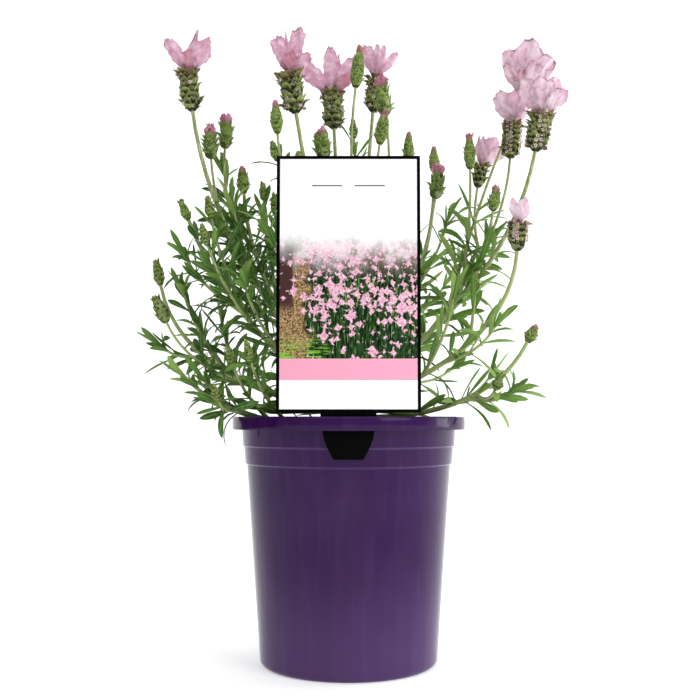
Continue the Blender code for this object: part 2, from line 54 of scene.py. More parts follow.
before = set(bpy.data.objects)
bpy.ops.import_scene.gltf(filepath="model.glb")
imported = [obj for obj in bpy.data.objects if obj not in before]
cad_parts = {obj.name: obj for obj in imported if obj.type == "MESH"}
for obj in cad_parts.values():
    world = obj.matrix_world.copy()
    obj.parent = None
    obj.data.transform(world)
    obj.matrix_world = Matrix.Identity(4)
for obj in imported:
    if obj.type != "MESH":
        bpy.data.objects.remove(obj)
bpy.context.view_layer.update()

MM = 0.001
UP = Vector((0, 0, 1))
POT_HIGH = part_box("pot")[1]
CARD_LOW, CARD_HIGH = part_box("plant_label")

# Pot: wall, skirt and steps
POT_HEIGHT = POT_HIGH[2] / MM
RIM_RADIUS = POT_HIGH[0] / MM
RIM_SKIRT = 9
WALL = 1.4
FLOOR = 2
BASE_RADIUS = 62
BASE_FILLET = 4
LOW_STEP = POT_HEIGHT - 33.5
HIGH_STEP = POT_HEIGHT - 21
STEP_RISE = 0.8
LOW_STEP_RADII = (72.0, 73.2)
HIGH_STEP_RADII = (74.2, 75.1)
NECK_RADIUS = 76
DRAINS = 6
DRAIN_RADIUS = 5
DRAIN_CIRCLE = 42
LABEL_SLOT = (38.5, 1.8, 8.4)  # width, depth and height

# Potting mix
SOIL_LEVEL = POT_HEIGHT - 9
SOIL_DOME = 3
SOIL_RADIUS = 72
SOIL_GAP = 0.3  # between the mix and the pot
CHIPS = 620
PERLITE_SHARE = 0.1

# Label: card, neck and foot, and what is printed on the card
LABEL_Y = -77.4
CARD_BOTTOM = 174.5
CARD_TOP = CARD_HIGH[2] / MM
CARD_HALF = CARD_HIGH[0] / MM
CARD_THICKNESS = 0.8
NECK_WIDTH = 36
FOOT_WIDTH = 33
FOOT_TIP_WIDTH = 19
FOOT_BOTTOM = CARD_LOW[2] / MM
BAND = (195.3, 209.1)  # heights of the plain band's edges
RULES = (321.0, 321.7)  # heights of the two short rules' edges
RULE_ENDS = (4, 23.5)  # from the card's middle line

# Woody base
TRUNK_RADIUS = 9.5
TRUNK_RINGS = [  # height and width
    (150.5, 15),
    (158, 15.5),
    (166, 16.2),
    (172, 17),
    (180, 15.5),
    (188, 17.4),
    (195, 16.4),
    (200, 13),
    (203, 8),
]
TRUNK_FLATTENING = 0.98  # of a ring's depth, against the one below it

# Heads: foot of the head (x, y, z), lean to the right and to the back in degrees, length and width.
# An open flower also has the length and the spread in degrees of its crown of petals.
OPEN_FLOWERS = {
    1: ((-112, -10, 391), (-8, 0), (31, 16), (25, 30)),
    2: ((-37, -25, 385), (-10, -3), (30, 18), (31, 16)),
    3: ((-11, 25, 388), (-3, 4), (29, 17), (35, 36)),
    4: ((19, 60, 411), (5, 6), (31, 15), (27, 26)),
    5: ((120, 22, 387), (23, 6), (29, 14), (37, 26)),
    6: ((117, -1, 359), (5, 4), (27, 14), (27, 26)),
    7: ((131, -24, 358), (10, -6), (28, 17), (26, 38)),
    8: ((98, 37, 346), (11, 8), (19, 12), (23, 30)),
    9: ((115, -40, 285), (3, -4), (20, 14), (17, 14)),
    10: ((-38, 98, 332), (-8, 14), (28, 15), (25, 28)),
    11: ((34, 104, 318), (6, 12), (27, 15), (26, 24)),
}
HALF_OPEN = {
    1: ((-92, 18, 371), (3, 4), (22, 11)),
    2: ((-100, 2, 359), (-3, -6), (22, 12)),
    3: ((66, 40, 338), (9, 4), (23, 13)),
    4: ((-18, 8, 361), (-8, -2), (20, 14)),
    5: ((28, 34, 401), (-9, -4), (26, 14)),
}
BUDS = {
    1: ((5, -4, 410), (7, -4), (29, 12)),
    2: ((-49, -37, 367), (-4, -5), (22, 10)),
    3: ((23, 14, 373), (9, -4), (25, 12)),
    4: ((46, 50, 368), (2, 6), (25, 10)),
    5: ((67, 61, 363), (0, 8), (21, 9)),
    6: ((89, 8, 353), (-1, 0), (26, 10)),
    7: ((102, -17, 317), (8, -4), (17, 10)),
    8: ((123, -30, 223), (26, -8), (12, 10)),
    9: ((-79, 31, 340), (-5, 5), (20, 11)),
    10: ((-139, 20, 269), (-12, 4), (19, 10)),
    11: ((-128, -15, 238), (-24, -6), (20, 13)),
}

# Branches: the side of the trunk they leave from (degrees from +X) and how high, then the heads they bear,
# the first on the leader and the others on forks. A branch that bears none has a leafy leader.
BRANCHES = {
    "left_tall": ((180, 190), ["flower_01", "half_open_02", "half_open_01"]),
    "left_back": ((140, 186), ["bud_09"]),
    "left_low": ((170, 177), ["bud_10", "bud_11"]),
    "left_front": ((214, 180), []),
    "left_rim": ((232, 170), []),
    "centre_left": ((234, 196), ["flower_02", "bud_02"]),
    "centre": ((112, 198), ["flower_03", "half_open_04"]),
    "centre_right": ((62, 200), ["flower_04", "half_open_05", "bud_01", "bud_03"]),
    "right_back": ((36, 186), ["bud_05", "bud_04", "half_open_03"]),
    "right_tall": ((2, 192), ["flower_07", "flower_06", "flower_05", "bud_06", "bud_07", "flower_08"]),
    "right_mid": ((-24, 184), ["flower_09"]),
    "right_rim": ((-20, 171), ["bud_08"]),
    "back_left": ((112, 178), ["flower_10"]),
    "back_right": ((70, 180), ["flower_11"]),
    "front": ((-80, 178), []),
}
FORK_FIRST = 0.30  # share of the leader's length at its first fork to a head
FORK_STEP = 0.07  # from one such fork to the next

# Side shoots of each branch: share of the leader where they fork, tip (x, y, z), and what ends them.
# The first one of a branch that bears no heads is its leader.
SIDE_SHOOTS = {
    "left_tall": [
        (0.5, (-94, 30, 357), "bud"),
        (0.26, (-98, 6, 276), "leaves"),
        (0.4, (-82, -14, 322), "leaves"),
    ],
    "left_back": [
        (0.45, (-66, 57, 340), "bud"),
        (0.34, (-58, 66, 334), "bud"),
        (0.25, (-84, 72, 288), "leaves"),
        (0.5, (-78, 34, 322), "leaves"),
    ],
    "left_front": [
        (0.0, (-111, -30, 308), "bud"),
        (0.5, (-93, -46, 306), "bud"),
        (0.38, (-94, -54, 286), "bud"),
        (0.28, (-70, -52, 262), "leaves"),
        (0.55, (-114, -24, 284), "leaves"),
    ],
    "left_low": [
        (0.45, (-101, 42, 272), "bud"),
        (0.62, (-134, 4, 222), "leaves"),
        (0.36, (-112, 46, 236), "leaves"),
        (0.52, (-118, -8, 262), "leaves"),
    ],
    "left_rim": [
        (0.0, (-110, -38, 198), "leaves"),
        (0.34, (-64, -60, 208), "bud"),
        (0.45, (-77, -47, 206), "bud"),
        (0.66, (-86, -52, 182), "bud"),
        (0.52, (-100, -18, 196), "leaves"),
    ],
    "centre_left": [
        (0.6, (-50, -20, 352), "bud"),
        (0.52, (-33, -34, 340), "bud"),
        (0.3, (-56, -46, 300), "leaves"),
    ],
    "centre": [
        (0.58, (-3, 36, 355), "bud"),
        (0.34, (-26, 50, 300), "leaves"),
    ],
    "centre_right": [
        (0.55, (4, 46, 386), "bud"),
        (0.36, (22, 52, 304), "leaves"),
    ],
    "right_back": [
        (0.3, (84, 64, 292), "leaves"),
        (0.45, (74, 26, 318), "leaves"),
    ],
    "right_tall": [
        (0.3, (88, 12, 270), "leaves"),
        (0.42, (100, 4, 300), "leaves"),
    ],
    "right_mid": [
        (0.55, (88, -22, 258), "bud"),
        (0.4, (98, -50, 232), "leaves"),
        (0.3, (70, -56, 250), "leaves"),
    ],
    "right_rim": [
        (0.62, (97, -56, 190), "bud"),
        (0.45, (104, 8, 204), "leaves"),
        (0.56, (112, -36, 190), "leaves"),
    ],
    "back_left": [
        (0.55, (-58, 100, 296), "bud"),
        (0.45, (-14, 112, 290), "bud"),
        (0.3, (-50, 104, 236), "leaves"),
        (0.22, (-76, 84, 214), "leaves"),
    ],
    "back_right": [
        (0.55, (58, 98, 284), "bud"),
        (0.45, (12, 118, 262), "bud"),
        (0.3, (56, 100, 232), "leaves"),
        (0.22, (84, 78, 212), "leaves"),
    ],
    "front": [
        (0.0, (8, -56, 268), "leaves"),
        (0.45, (-26, -58, 236), "leaves"),
        (0.35, (34, -58, 226), "leaves"),
    ],
}

# Stems and leaves
GAP = 0.3  # left between a stem and the head it bears
STEM_BOW = 0.6  # 0 is a straight stem, 1 an even arc from the trunk to the head
STEM_REACH = 0.36  # of the curve's handles, as a share of the stem's length
LEADER_RADII = (2.1, 1.3)
SIDE_RADII = (1.3, 0.9)
STEM_POINTS = 6
TUBE_POINTS = 16
FORK_SWELLING = 0.35
SHOOT_UPTURN = 0.8  # how far a side shoot's tip turns up towards the light
# Share of a stem's length where its leaves start and end
FLOWER_LEADER_LEAVES = (0.12, 0.62)
FLOWER_FORK_LEAVES = (0.15, 0.55)
LEAFY_LEADER_LEAVES = (0.15, 0.9)
SIDE_SHOOT_LEAVES = (0.2, 0.92)
LEAF_PITCH = 10.5  # between one pair of leaves and the next
LEAF_THICKNESS = 0.9
SMALL_LEAF_THICKNESS = 0.8
ROSETTE = 5  # leaves at the tip of a leafy shoot
LOW_LEAVES = 30
YOUNG_BUD = (14.5, 7.5)  # length and width
# Odds that a leaf is missing, at the middle and over the next stretch to the right, where the plant is thinner
MISSING_LEAVES = 0.1
MISSING_AT_RIGHT = 0.3
THINNING_STRETCH = 70
# Room that leaves leave round the pot's rim and wall, the potting mix, the card and the heads
RIM_ROOM = 1.5
WALL_ROOM = 8
MIX_ROOM = 4
CARD_ROOM = 4
HEAD_ROOM = 1.0
HANG_BELOW_RIM = 26  # how far leaves may hang outside the pot

# Crowns of petals: (lean to the right and to the back, degrees), the side that the petal's back looks to
# (degrees from +X, -90 is the front), length and width, curl outwards in degrees, end, and ruffle
PETALS = {
    1: [
        ((4, 8), 90, 16, 10, 10, "round", 0.14),
        ((9, 6), 70, 34, 7.5, 3, "pointed", 0.10),
        ((-32, -4), -110, 27, 10, -4, "square", 0.16),
        ((36, 2), -60, 28, 14, -8, "round", 0.16),
        ((7, -12), -90, 16, 11, -20, "round", 0.2),
    ],
    2: [
        ((13, 4), 80, 34, 11.5, -8, "square", 0.18),
        ((-4, 6), 110, 33, 4.5, 2, "pointed", 0.06),
        ((-20, -2), -115, 28, 10.5, -12, "square", 0.16),
        ((8, -14), -90, 15, 12, 10, "round", 0.24),
        ((50, -6), -50, 19, 10, 10, "round", 0.24),
    ],
    3: [
        ((9, 6), 80, 33, 9, 0, "pointed", 0.10),
        ((-3, -4), -90, 36, 12, -8, "round", 0.08),
        ((-46, -4), -115, 31, 13, 14, "square", 0.18),
        ((36, 0), -70, 31, 15, 2, "square", 0.16),
        ((44, -12), -60, 19, 9, 0, "round", 0.18),
    ],
    4: [
        ((2, 8), 90, 23, 12, 0, "round", 0.14),
        ((-20, 0), -110, 26, 11, -4, "square", 0.18),
        ((2, -4), -100, 26, 6.5, -8, "round", 0.10),
        ((14, -2), -75, 26, 7.5, -8, "round", 0.10),
        ((42, 2), -60, 27, 7, -28, "square", 0.14),
    ],
    5: [
        ((12, 12), 90, 44, 24, 0, "round", 0.18),
        ((30, 8), 50, 40, 17, 8, "square", 0.2),
        ((-16, 2), -120, 38, 12, -6, "square", 0.2),
        ((8, -3), -90, 45, 25, -5, "round", 0.16),
        ((36, -4), -55, 37, 19, 4, "round", 0.22),
        ((-4, -14), -100, 20, 10, 6, "round", 0.24),
        ((-24, 6), 160, 30, 3, 6, "pointed", 0.1),
        ((-26, -6), -125, 27, 9, 12, "square", 0.26),
        ((22, -10), -75, 27, 11, 8, "square", 0.28),
        ((44, 4), -20, 30, 8, 8, "square", 0.24),
    ],
    6: [
        ((4, 10), 95, 26, 15, 2, "square", 0.2),
        ((-24, 0), -115, 25, 13, 2, "square", 0.24),
        ((4, -8), -95, 24, 16, -2, "round", 0.2),
        ((32, 2), -40, 24, 13, 4, "round", 0.2),
    ],
    7: [
        ((2, 8), 90, 27, 20, 2, "round", 0.18),
        ((-30, 2), -120, 27, 15, 0, "square", 0.2),
        ((2, -8), -90, 25, 17, 2, "square", 0.2),
        ((24, 0), -60, 28, 14, -4, "square", 0.2),
        ((44, 0), -50, 24, 12, -8, "round", 0.22),
        ((-14, -10), -100, 19, 10, 8, "square", 0.28),
        ((36, -10), -60, 20, 9, 6, "square", 0.26),
    ],
    8: [
        ((-3, 4), 100, 25, 8, -4, "pointed", 0.1),
        ((4, -4), -100, 23, 10, -2, "pointed", 0.14),
        ((26, 4), -70, 24, 13, 4, "square", 0.2),
        ((50, 0), -50, 20, 10, 6, "square", 0.2),
    ],
    9: [
        ((4, 6), 90, 16, 8, 0, "round", 0.1),
        ((-12, -2), -105, 18, 7, -4, "round", 0.08),
        ((13, -2), -75, 18, 11, -4, "round", 0.08),
    ],
    10: [
        ((-8, 22), 90, 24, 11, 4, "round", 0.12),
        ((-34, 12), 140, 23, 10, 8, "square", 0.14),
        ((20, 14), 50, 24, 10, 4, "pointed", 0.1),
        ((-6, 4), -90, 21, 9, 4, "round", 0.12),
    ],
    11: [
        ((6, 22), 90, 25, 11, 4, "square", 0.12),
        ((-24, 12), 140, 23, 9, 6, "round", 0.14),
        ((30, 12), 40, 24, 9.5, 8, "pointed", 0.12),
        ((6, 2), -90, 20, 9, 4, "round", 0.12),
    ],
}
# Share of its width that a petal loses at the tip, and share of its length by which its corners lie back
PETAL_ENDS = {"pointed": (0.8, 0.28), "round": (0.34, 0.17), "square": (0.16, 0.08)}
# How pale each crown's petals are, from 0 to 1
USUAL_PETAL_TINTS = (0.0, 0.45)
PETAL_TINTS = {
    5: (0.6, 1.0),
    6: (0.5, 1.0),
    7: (0.6, 1.0),
    8: (0.4, 0.8),
    9: (0.7, 1.0),
    10: (0.2, 0.9),
    11: (0.2, 0.9),
}
PETAL_THICKNESS = 0.22
TUFT_THICKNESS = 0.25  # of the half-open heads' petals
ROSY_LEAN = -12  # petals that hang this far forwards are rosier
ROSY_BLUSH = 0.38
# Rows of florets up a spike, where the lowest sits, and the odds that each one is there
USUAL_FLORETS = (6, 0.12, 0.24)
FLORETS = {5: (8, 0.12, 0.9), 6: (8, 0.12, 0.9), 7: (8, 0.12, 0.9), 9: (6, 0.36, 0.95), 8: (4, 0.2, 0.0)}
FLORET_COLUMNS = (-150, -62, 28, 118)  # turns round the spike
FLORET_SIZE = 3.1
HIGHEST_FLORET = 0.96
# Bracts: their highest row, as a share of the head's height, and their thickness
TOP_ROW = 0.84
BRACT_THICKNESS = 0.75
# Closed buds that are still green to the tip
GREEN_BUDS = (10, 11)

# Studio, in metres: the paper's flat radius, the radius of its upward bend and its wall above that
PAPER_REACH = 1.3
PAPER_BEND = 0.9
PAPER_WALL = 0.9
BEND_STEPS = 12
SOFTBOXES = {  # place, target, width and height, and power in watts
    "key_softbox": ((-0.9, -1.3, 1.5), (0, 0, 0.22), (0.7, 0.7), 6.8),
    "fill_softbox": ((1.2, -1.2, 0.9), (0, 0, 0.2), (1.0, 1.2), 12.8),
    "top_softbox": ((0.0, 0.3, 1.7), (0, 0, 0.2), (1.6, 1.2), 9.0),
    "right_strip": ((1.2, 0.25, 0.35), (0, 0, 0.15), (0.45, 1.1), 6.0),
}
AIR_LIGHT = 0.4
LENS = 53.2
CAMERA_ASIDE = 0.001
CAMERA_HEIGHT = 0.173
CAMERA_TILT = 3.6


def vec(xyz):
    """A vector in metres from millimetres."""
    return Vector(xyz) * MM


def level(degrees):
    """Level direction at so many degrees from +X."""
    return Vector((math.cos(math.radians(degrees)), math.sin(math.radians(degrees)), 0))


def squared(direction, axis):
    """The direction turned square to an axis."""
    return (direction - axis * direction.dot(axis)).normalized()


def clamped(value):
    return min(1.0, max(0.0, value))


def srgb(text):
    """Linear red, green and blue of an sRGB hex colour."""
    found = []
    for start in (0, 2, 4):
        value = int(text[start : start + 2], 16) / 255
        found.append(value / 12.92 if value <= 0.04045 else ((value + 0.055) / 1.055) ** 2.4)
    return tuple(found)


def paint(text):
    """The same as srgb, with full alpha, for a colour socket."""
    return (*srgb(text), 1)


# --- what a user would change ---------------------------------------------------------------------------


def size_setting(name, description, default, least):
    """A length in metres, no smaller than least."""
    return FloatProperty(name=name, description=description, default=default, min=least, unit="LENGTH")


def colour_setting(name, description, text):
    """A colour, with its default as sRGB hex."""
    return FloatVectorProperty(
        name=name, description=description, subtype="COLOR", min=0, max=1, default=srgb(text)
    )


class PotSettings(bpy.types.PropertyGroup):
    """Sizes and colours of the nursery pot."""

    rim_radius: size_setting("Rim Radius", "Outer radius of the rim", RIM_RADIUS * MM, 0.02)
    height: size_setting("Height", "From the underside to the top of the rim", POT_HEIGHT * MM, 0.02)
    colour: colour_setting("Plastic", "Colour of the moulded pot", "2D0B43")
    # The haze colour also paints the thin highlights along the two steps and the paler skin towards the bottom, a
    # painted reflection of the floor.
    haze: colour_setting("Haze", "Paler colour that handling and dust leave on the plastic", "523A68")


class LabelSettings(bpy.types.PropertyGroup):
    """Sizes and colours of the label card."""

    border: size_setting("Border", "Width of the black border printed round the card", 2.2 * MM, 0)
    band: colour_setting("Band", "Colour of the plain band under the picture", "F4A8C2")
    blossom: colour_setting("Printed Blossom", "Colour of the blossoms in the printed flower bed", "F4CBD9")


class FoliageSettings(bpy.types.PropertyGroup):
    """Sizes and colours of the stems and leaves."""

    leaf_length: size_setting("Leaf Length", "Length of a well grown leaf", 36 * MM, 0.005)
    leaf_width: size_setting("Leaf Width", "Width of a leaf at its widest", 5.3 * MM, 0.001)
    leaf: colour_setting("Leaf", "Main green of the leaves", "86B44E")
    # This darker green is that of older leaves and also painted shade: the lower a leaf's tint, the more of it
    # shows.
    shaded_leaf: colour_setting("Older Leaf", "Bluer, darker green of the older leaves", "3C6C1E")
    stem: colour_setting("Stem", "Yellow-green of the stems", "A2AC76")


class FlowerSettings(bpy.types.PropertyGroup):
    """Sizes and colours of the flower heads."""

    bract_length: size_setting("Bract Length", "Length of a bract in the middle of a spike", 8.6 * MM, 0.001)
    bract: colour_setting("Bract", "Green of the bracts on the spikes", "94AA4C")
    bract_tip: colour_setting("Bract Tip", "Brown-purple of the bracts' points", "4A2A20")
    petal: colour_setting("Petal", "Pink of the petals", "E8BCD4")
    petal_base: colour_setting("Petal Base", "Deeper pink at the petals' foot and along their veins", "B4708A")


class StageSettings(bpy.types.PropertyGroup):
    """The studio."""

    paper: colour_setting("Paper", "Colour of the floor and the backdrop", "FCFCFC")
    camera_distance: size_setting("Camera Distance", "From the pot's axis to the camera", 0.74, 0.2)


class LavenderSettings(bpy.types.PropertyGroup):
    """Everything that the panel shows."""

    pot: PointerProperty(type=PotSettings)
    label: PointerProperty(type=LabelSettings)
    foliage: PointerProperty(type=FoliageSettings)
    flowers: PointerProperty(type=FlowerSettings)
    stage: PointerProperty(type=StageSettings)


# --- materials ------------------------------------------------------------------------------------------

# Settings that all shader nodes of a kind share here
USUAL = {"Mix": {"data_type": "RGBA"}, "MapRange": {"interpolation_type": "SMOOTHSTEP"}}


def feed(tree, socket, value):
    """Sets a socket to a value, or links it to another socket or to the first output of a node."""
    if isinstance(value, bpy.types.Node):
        value = next(output for output in value.outputs if output.enabled)
    if isinstance(value, bpy.types.NodeSocket):
        tree.links.new(value, socket)
    else:
        socket.default_value = value


def add(tree, kind, *inputs, named=None, **settings):
    """Adds a shader node with its settings and links. Inputs go to the sockets in use, in order or by name."""
    made = tree.nodes.new("ShaderNode" + kind)
    for name, value in {**USUAL.get(kind, {}), **settings}.items():
        setattr(made, name, value)
    in_use = [socket for socket in made.inputs if socket.enabled]
    for socket, value in zip(in_use, inputs):
        feed(tree, socket, value)
    for name, value in (named or {}).items():
        feed(tree, made.inputs[name], value)
    return made


def finish_named(name):
    """A new material, its node tree and the place on the object that its patterns follow."""
    made = bpy.data.materials.new(name)
    made.use_nodes = True
    return made, made.node_tree, add(made.node_tree, "TexCoord").outputs["Object"]


def coated(made, sockets, relief=None, through=0.0):
    """Feeds a material's shader by socket name. Relief is a height, its depth in millimetres and its strength,
    and through is the share of light that comes through a thin leaf or petal from behind."""
    tree = made.node_tree
    shader = tree.nodes["Principled BSDF"]
    for name, value in sockets.items():
        feed(tree, shader.inputs[name], value)
    if relief:
        height, depth, strength = relief
        bump = add(tree, "Bump", named={"Height": height, "Distance": depth * MM, "Strength": strength})
        feed(tree, shader.inputs["Normal"], bump)
    if through:
        glow = add(tree, "BsdfTranslucent", sockets["Base Color"])
        both = add(tree, "MixShader", through, shader, glow)
        feed(tree, tree.nodes["Material Output"].inputs["Surface"], both)
    return made


def spots(size):
    """Scale of a noise or cell pattern whose spots are about size millimetres across."""
    return 1 / (size * MM)


def within(tree, value, low, high, soft):
    """1 between low and high, 0 outside, with edges soft millimetres wide. All in millimetres."""
    rise = add(tree, "MapRange", value, (low - soft / 2) * MM, (low + soft / 2) * MM)
    fall = add(tree, "MapRange", value, (high + soft / 2) * MM, (high - soft / 2) * MM)
    return add(tree, "Math", rise, fall, operation="MULTIPLY")


def layered(tree, colour, *coats):
    """Lays coats of colour over a ground. A coat is its colour, the value that places it and, where that value
    is ramped, where it starts, where it is full and how strong it then is."""
    for coat, share, *ramp in coats:
        if ramp:
            share = add(tree, "MapRange", share, *ramp[:2], 0, *ramp[2:])
        colour = add(tree, "Mix", share, colour, paint(coat) if isinstance(coat, str) else coat)
    return colour


def growth_inputs(tree):
    """Across and along a leaf, bract or petal from 0 to 1, and its own tint and blush."""
    grown = add(tree, "SeparateXYZ", add(tree, "UVMap", uv_map="growth"))
    tint, blush = (add(tree, "Attribute", attribute_name=name).outputs["Fac"] for name in ("tint", "blush"))
    return grown.outputs["X"], grown.outputs["Y"], tint, blush


def from_midrib(tree, across):
    """Distance from the middle line of a leaf, bract or petal, 0.5 at its edge."""
    return add(tree, "Math", add(tree, "Math", across, 0.5, operation="SUBTRACT"), operation="ABSOLUTE")


def moulded_polypropylene(pot):
    """Injection-moulded polypropylene: a satin skin with faint flow streaks and a little haze from handling,
    with painted highlights in thin paler lines along the two steps and a painted reflection of the floor,
    paler towards the bottom.
    """
    made, tree, place = finish_named("moulded_polypropylene")
    flow = add(tree, "Mapping", place, named={"Scale": (1, 1, 0.08)})
    cloud = add(tree, "TexNoise", place, spots(55), 4)
    streak = add(tree, "TexNoise", flow, spots(7), 3)
    fine = add(tree, "TexNoise", place, spots(1.4), 2)
    height = add(tree, "SeparateXYZ", place).outputs["Z"]
    dust_and_painted_light = add(tree, "Math", add(tree, "MapRange", cloud, 0.3, 0.8), 0.16, operation="MULTIPLY")
    streaks_and_painted_highlights = [(add(tree, "MapRange", streak, 0.4, 0.85), 0.2)]
    # painted highlights: thin paler lines along the lips of the two steps
    streaks_and_painted_highlights += [(within(tree, height, step - 0.5, step + 1.0, 0.5), 0.55) for step in (LOW_STEP, HIGH_STEP)]
    for mark, strength in streaks_and_painted_highlights:
        dust_and_painted_light = add(tree, "Math", mark, strength, dust_and_painted_light, operation="MULTIPLY_ADD")
    # painted reflection of the floor: the skin grows paler towards the bottom
    dust_and_painted_light = add(tree, "Math", dust_and_painted_light, add(tree, "MapRange", height, 0.09, 0.0, 0.0, 0.7), operation="ADD")
    sockets = {
        "Base Color": layered(tree, (*pot.colour, 1), ((*pot.haze, 1), dust_and_painted_light)),
        "Roughness": add(tree, "Math", cloud, 0.1, 0.06, operation="MULTIPLY_ADD"),
        "IOR": 1.49,
        "Specular IOR Level": 0.16,
    }
    skin = add(tree, "Math", fine, add(tree, "Math", streak, 2.0, operation="MULTIPLY"), operation="ADD")
    return coated(made, sockets, relief=(skin, 0.02, 0.5))


def black_polypropylene():
    """Black moulded polypropylene of the label's neck and foot: matte, with a spark-eroded grain that is too fine
    to show and is drawn coarser."""
    made, tree, place = finish_named("black_polypropylene")
    grain = add(tree, "TexNoise", place, spots(0.8), 2)
    sockets = {
        "Base Color": layered(tree, paint("020202"), ("0A0A0A", grain)),
        "Roughness": add(tree, "MapRange", grain, 0.3, 0.7, 0.42, 0.55),
        "Specular IOR Level": 0.02,
    }
    return coated(made, sockets, relief=(grain, 0.03, 0.4))


def plain_card():
    """Unprinted back of the card: white polystyrene sheet with a soft sheen."""
    made, tree, place = finish_named("white_polystyrene_card")
    cloud = add(tree, "TexNoise", place, spots(30), 3)
    colour = layered(tree, paint("F2F2EF"), ("FAFAF8", cloud))
    return coated(made, {"Base Color": colour, "Roughness": add(tree, "MapRange", cloud, 0.3, 0.7, 0.38, 0.46)})


def printed_flower_bed(tree, place, x, z, blossom):
    """A generic printed picture of a bed of pink blossoms over dark stems, with straw and blades at one side.
    Its places on the card and the depths of its soft edges are in metres."""
    upright = add(tree, "Mapping", place, named={"Scale": (1, 1, 0.16)})
    leaning = add(tree, "Mapping", place, named={"Rotation": (0, 0.35, 0), "Scale": (1, 1, 0.1)})
    lying = add(tree, "Mapping", place, named={"Rotation": (0, -0.3, 0), "Scale": (0.12, 1, 1)})
    stems = add(tree, "TexNoise", upright, spots(0.9), 3, 0.6)
    slanted = add(tree, "TexNoise", leaning, spots(0.8), 2)
    blades = add(tree, "TexNoise", lying, spots(1.2), 2)
    cloud = add(tree, "TexNoise", place, spots(9), 4, 0.6)
    fine = add(tree, "TexNoise", place, spots(1.3), 4, 0.7)
    edge = add(tree, "Math", cloud, 0.034, x, operation="MULTIPLY_ADD")
    near, post = (
        add(tree, "Math", add(tree, "MapRange", *aside), add(tree, "MapRange", z, *up), operation="MULTIPLY")
        for aside, up in (((edge, 0.008, -0.004), (0.228, 0.212)), ((x, -0.034, -0.037), (0.236, 0.246)))
    )
    near = add(tree, "Math", near, add(tree, "MapRange", blades, 0.5, 0.56), operation="MULTIPLY")
    picture = layered(
        tree,
        paint("0E1C0C"),
        ("2C4E28", stems, 0.4, 0.6),
        ("8DB06E", slanted, 0.6, 0.68, 0.8),
        (layered(tree, paint("3A2415"), ("C9A878", fine, 0.35, 0.65)), edge, -0.008, -0.013),
        (layered(tree, paint("4C8F22"), ("A8DC5A", fine)), near),
        (layered(tree, paint("8A736C"), ("D9CCD2", cloud, 0.4, 0.6)), z, 0.26, 0.28),
        ("4A3230", post),
    )
    wander = add(tree, "TexNoise", place, spots(2.381), 1).outputs["Color"]
    drift = add(tree, "VectorMath", wander, 0.0032, operation="SCALE")
    moved = add(tree, "VectorMath", place, drift, operation="ADD")
    for size, seen_high, seen_low in ((4.4, 0.12, 0.72), (6.4, 0.1, 0.7)):
        cells = add(
            tree,
            "TexVoronoi",
            add(tree, "Mapping", moved, named={"Location": (size, 0, size)}),
            spots(size),
            named={"Exponent": 0.62, "Randomness": 0.9},
            distance="MINKOWSKI",
        )
        dice = add(tree, "SeparateColor", cells.outputs["Color"])
        wanted = add(tree, "MapRange", z, 0.222, 0.246, seen_low, seen_high)
        thinner = add(tree, "MapRange", edge, -0.002, -0.014)
        wanted = add(tree, "Math", thinner, 0.55, wanted, operation="MULTIPLY_ADD")
        chosen = add(tree, "Math", dice, wanted, operation="GREATER_THAN")
        star = add(tree, "Math", add(tree, "MapRange", cells, 1.2, 0.95), chosen, operation="MULTIPLY")
        heart = add(tree, "Math", add(tree, "MapRange", cells, 0.1, 0.75), fine, operation="MULTIPLY")
        tone = layered(tree, paint("D98CAE"), ((*blossom, 1), heart), ("FBE6EE", fine, 0.52, 0.62))
        picture = layered(tree, picture, (tone, star))
    haze = add(tree, "Math", cloud, 0.012, z, operation="MULTIPLY_ADD")
    return layered(tree, picture, ("FEFEFE", haze, 0.276, 0.298))


def printed_card(label):
    """Offset print on white polystyrene sheet under a clear varnish: flat inks with a light gloss."""
    made, tree, place = finish_named("offset_printed_card")
    split = add(tree, "SeparateXYZ", place)
    x, z = split.outputs["X"], split.outputs["Z"]
    aside = add(tree, "Math", x, operation="ABSOLUTE")
    border = label.border / MM
    rules, inside = (
        add(tree, "Math", within(tree, z, *up), within(tree, *sideways), operation="MULTIPLY")
        for up, sideways in (
            ((*RULES, 0.1), (aside, *RULE_ENDS, 0.2)),
            ((CARD_BOTTOM + border, CARD_TOP - border, 0.15), (x, border - CARD_HALF, CARD_HALF - border, 0.15)),
        )
    )
    colour = layered(
        tree,
        paint("FEFEFE"),
        (printed_flower_bed(tree, place, x, z, label.blossom), within(tree, z, BAND[1], CARD_TOP + 5, 0.2)),
        ((*label.band, 1), within(tree, z, *BAND, 0.2)),
        ("1A1A1A", rules),
    )
    grain = add(tree, "TexNoise", place, spots(2.5), 2)
    sockets = {
        "Base Color": layered(tree, paint("020202"), (colour, inside)),
        "Roughness": add(tree, "MapRange", grain, 0.3, 0.7, 0.3, 0.36),
        "Specular IOR Level": 0.03,
    }
    return coated(made, sockets, relief=(grain, 0.01, 0.3))


def damp_peat():
    """Peat mix: dull near-black crumbs with lighter fibres."""
    made, tree, place = finish_named("damp_peat")
    crumbs = add(tree, "TexVoronoi", place, spots(2.381))
    fibre = add(tree, "TexNoise", place, spots(2.2), 5, 0.7)
    colour = layered(tree, paint("1C130D"), ("4A3626", fibre, 0.4, 0.65), ("8A7050", fibre, 0.66, 0.74))
    rough = add(tree, "Math", crumbs, fibre, operation="ADD")
    return coated(made, {"Base Color": colour, "Roughness": 0.95}, relief=(rough, 1.2, 1.0))


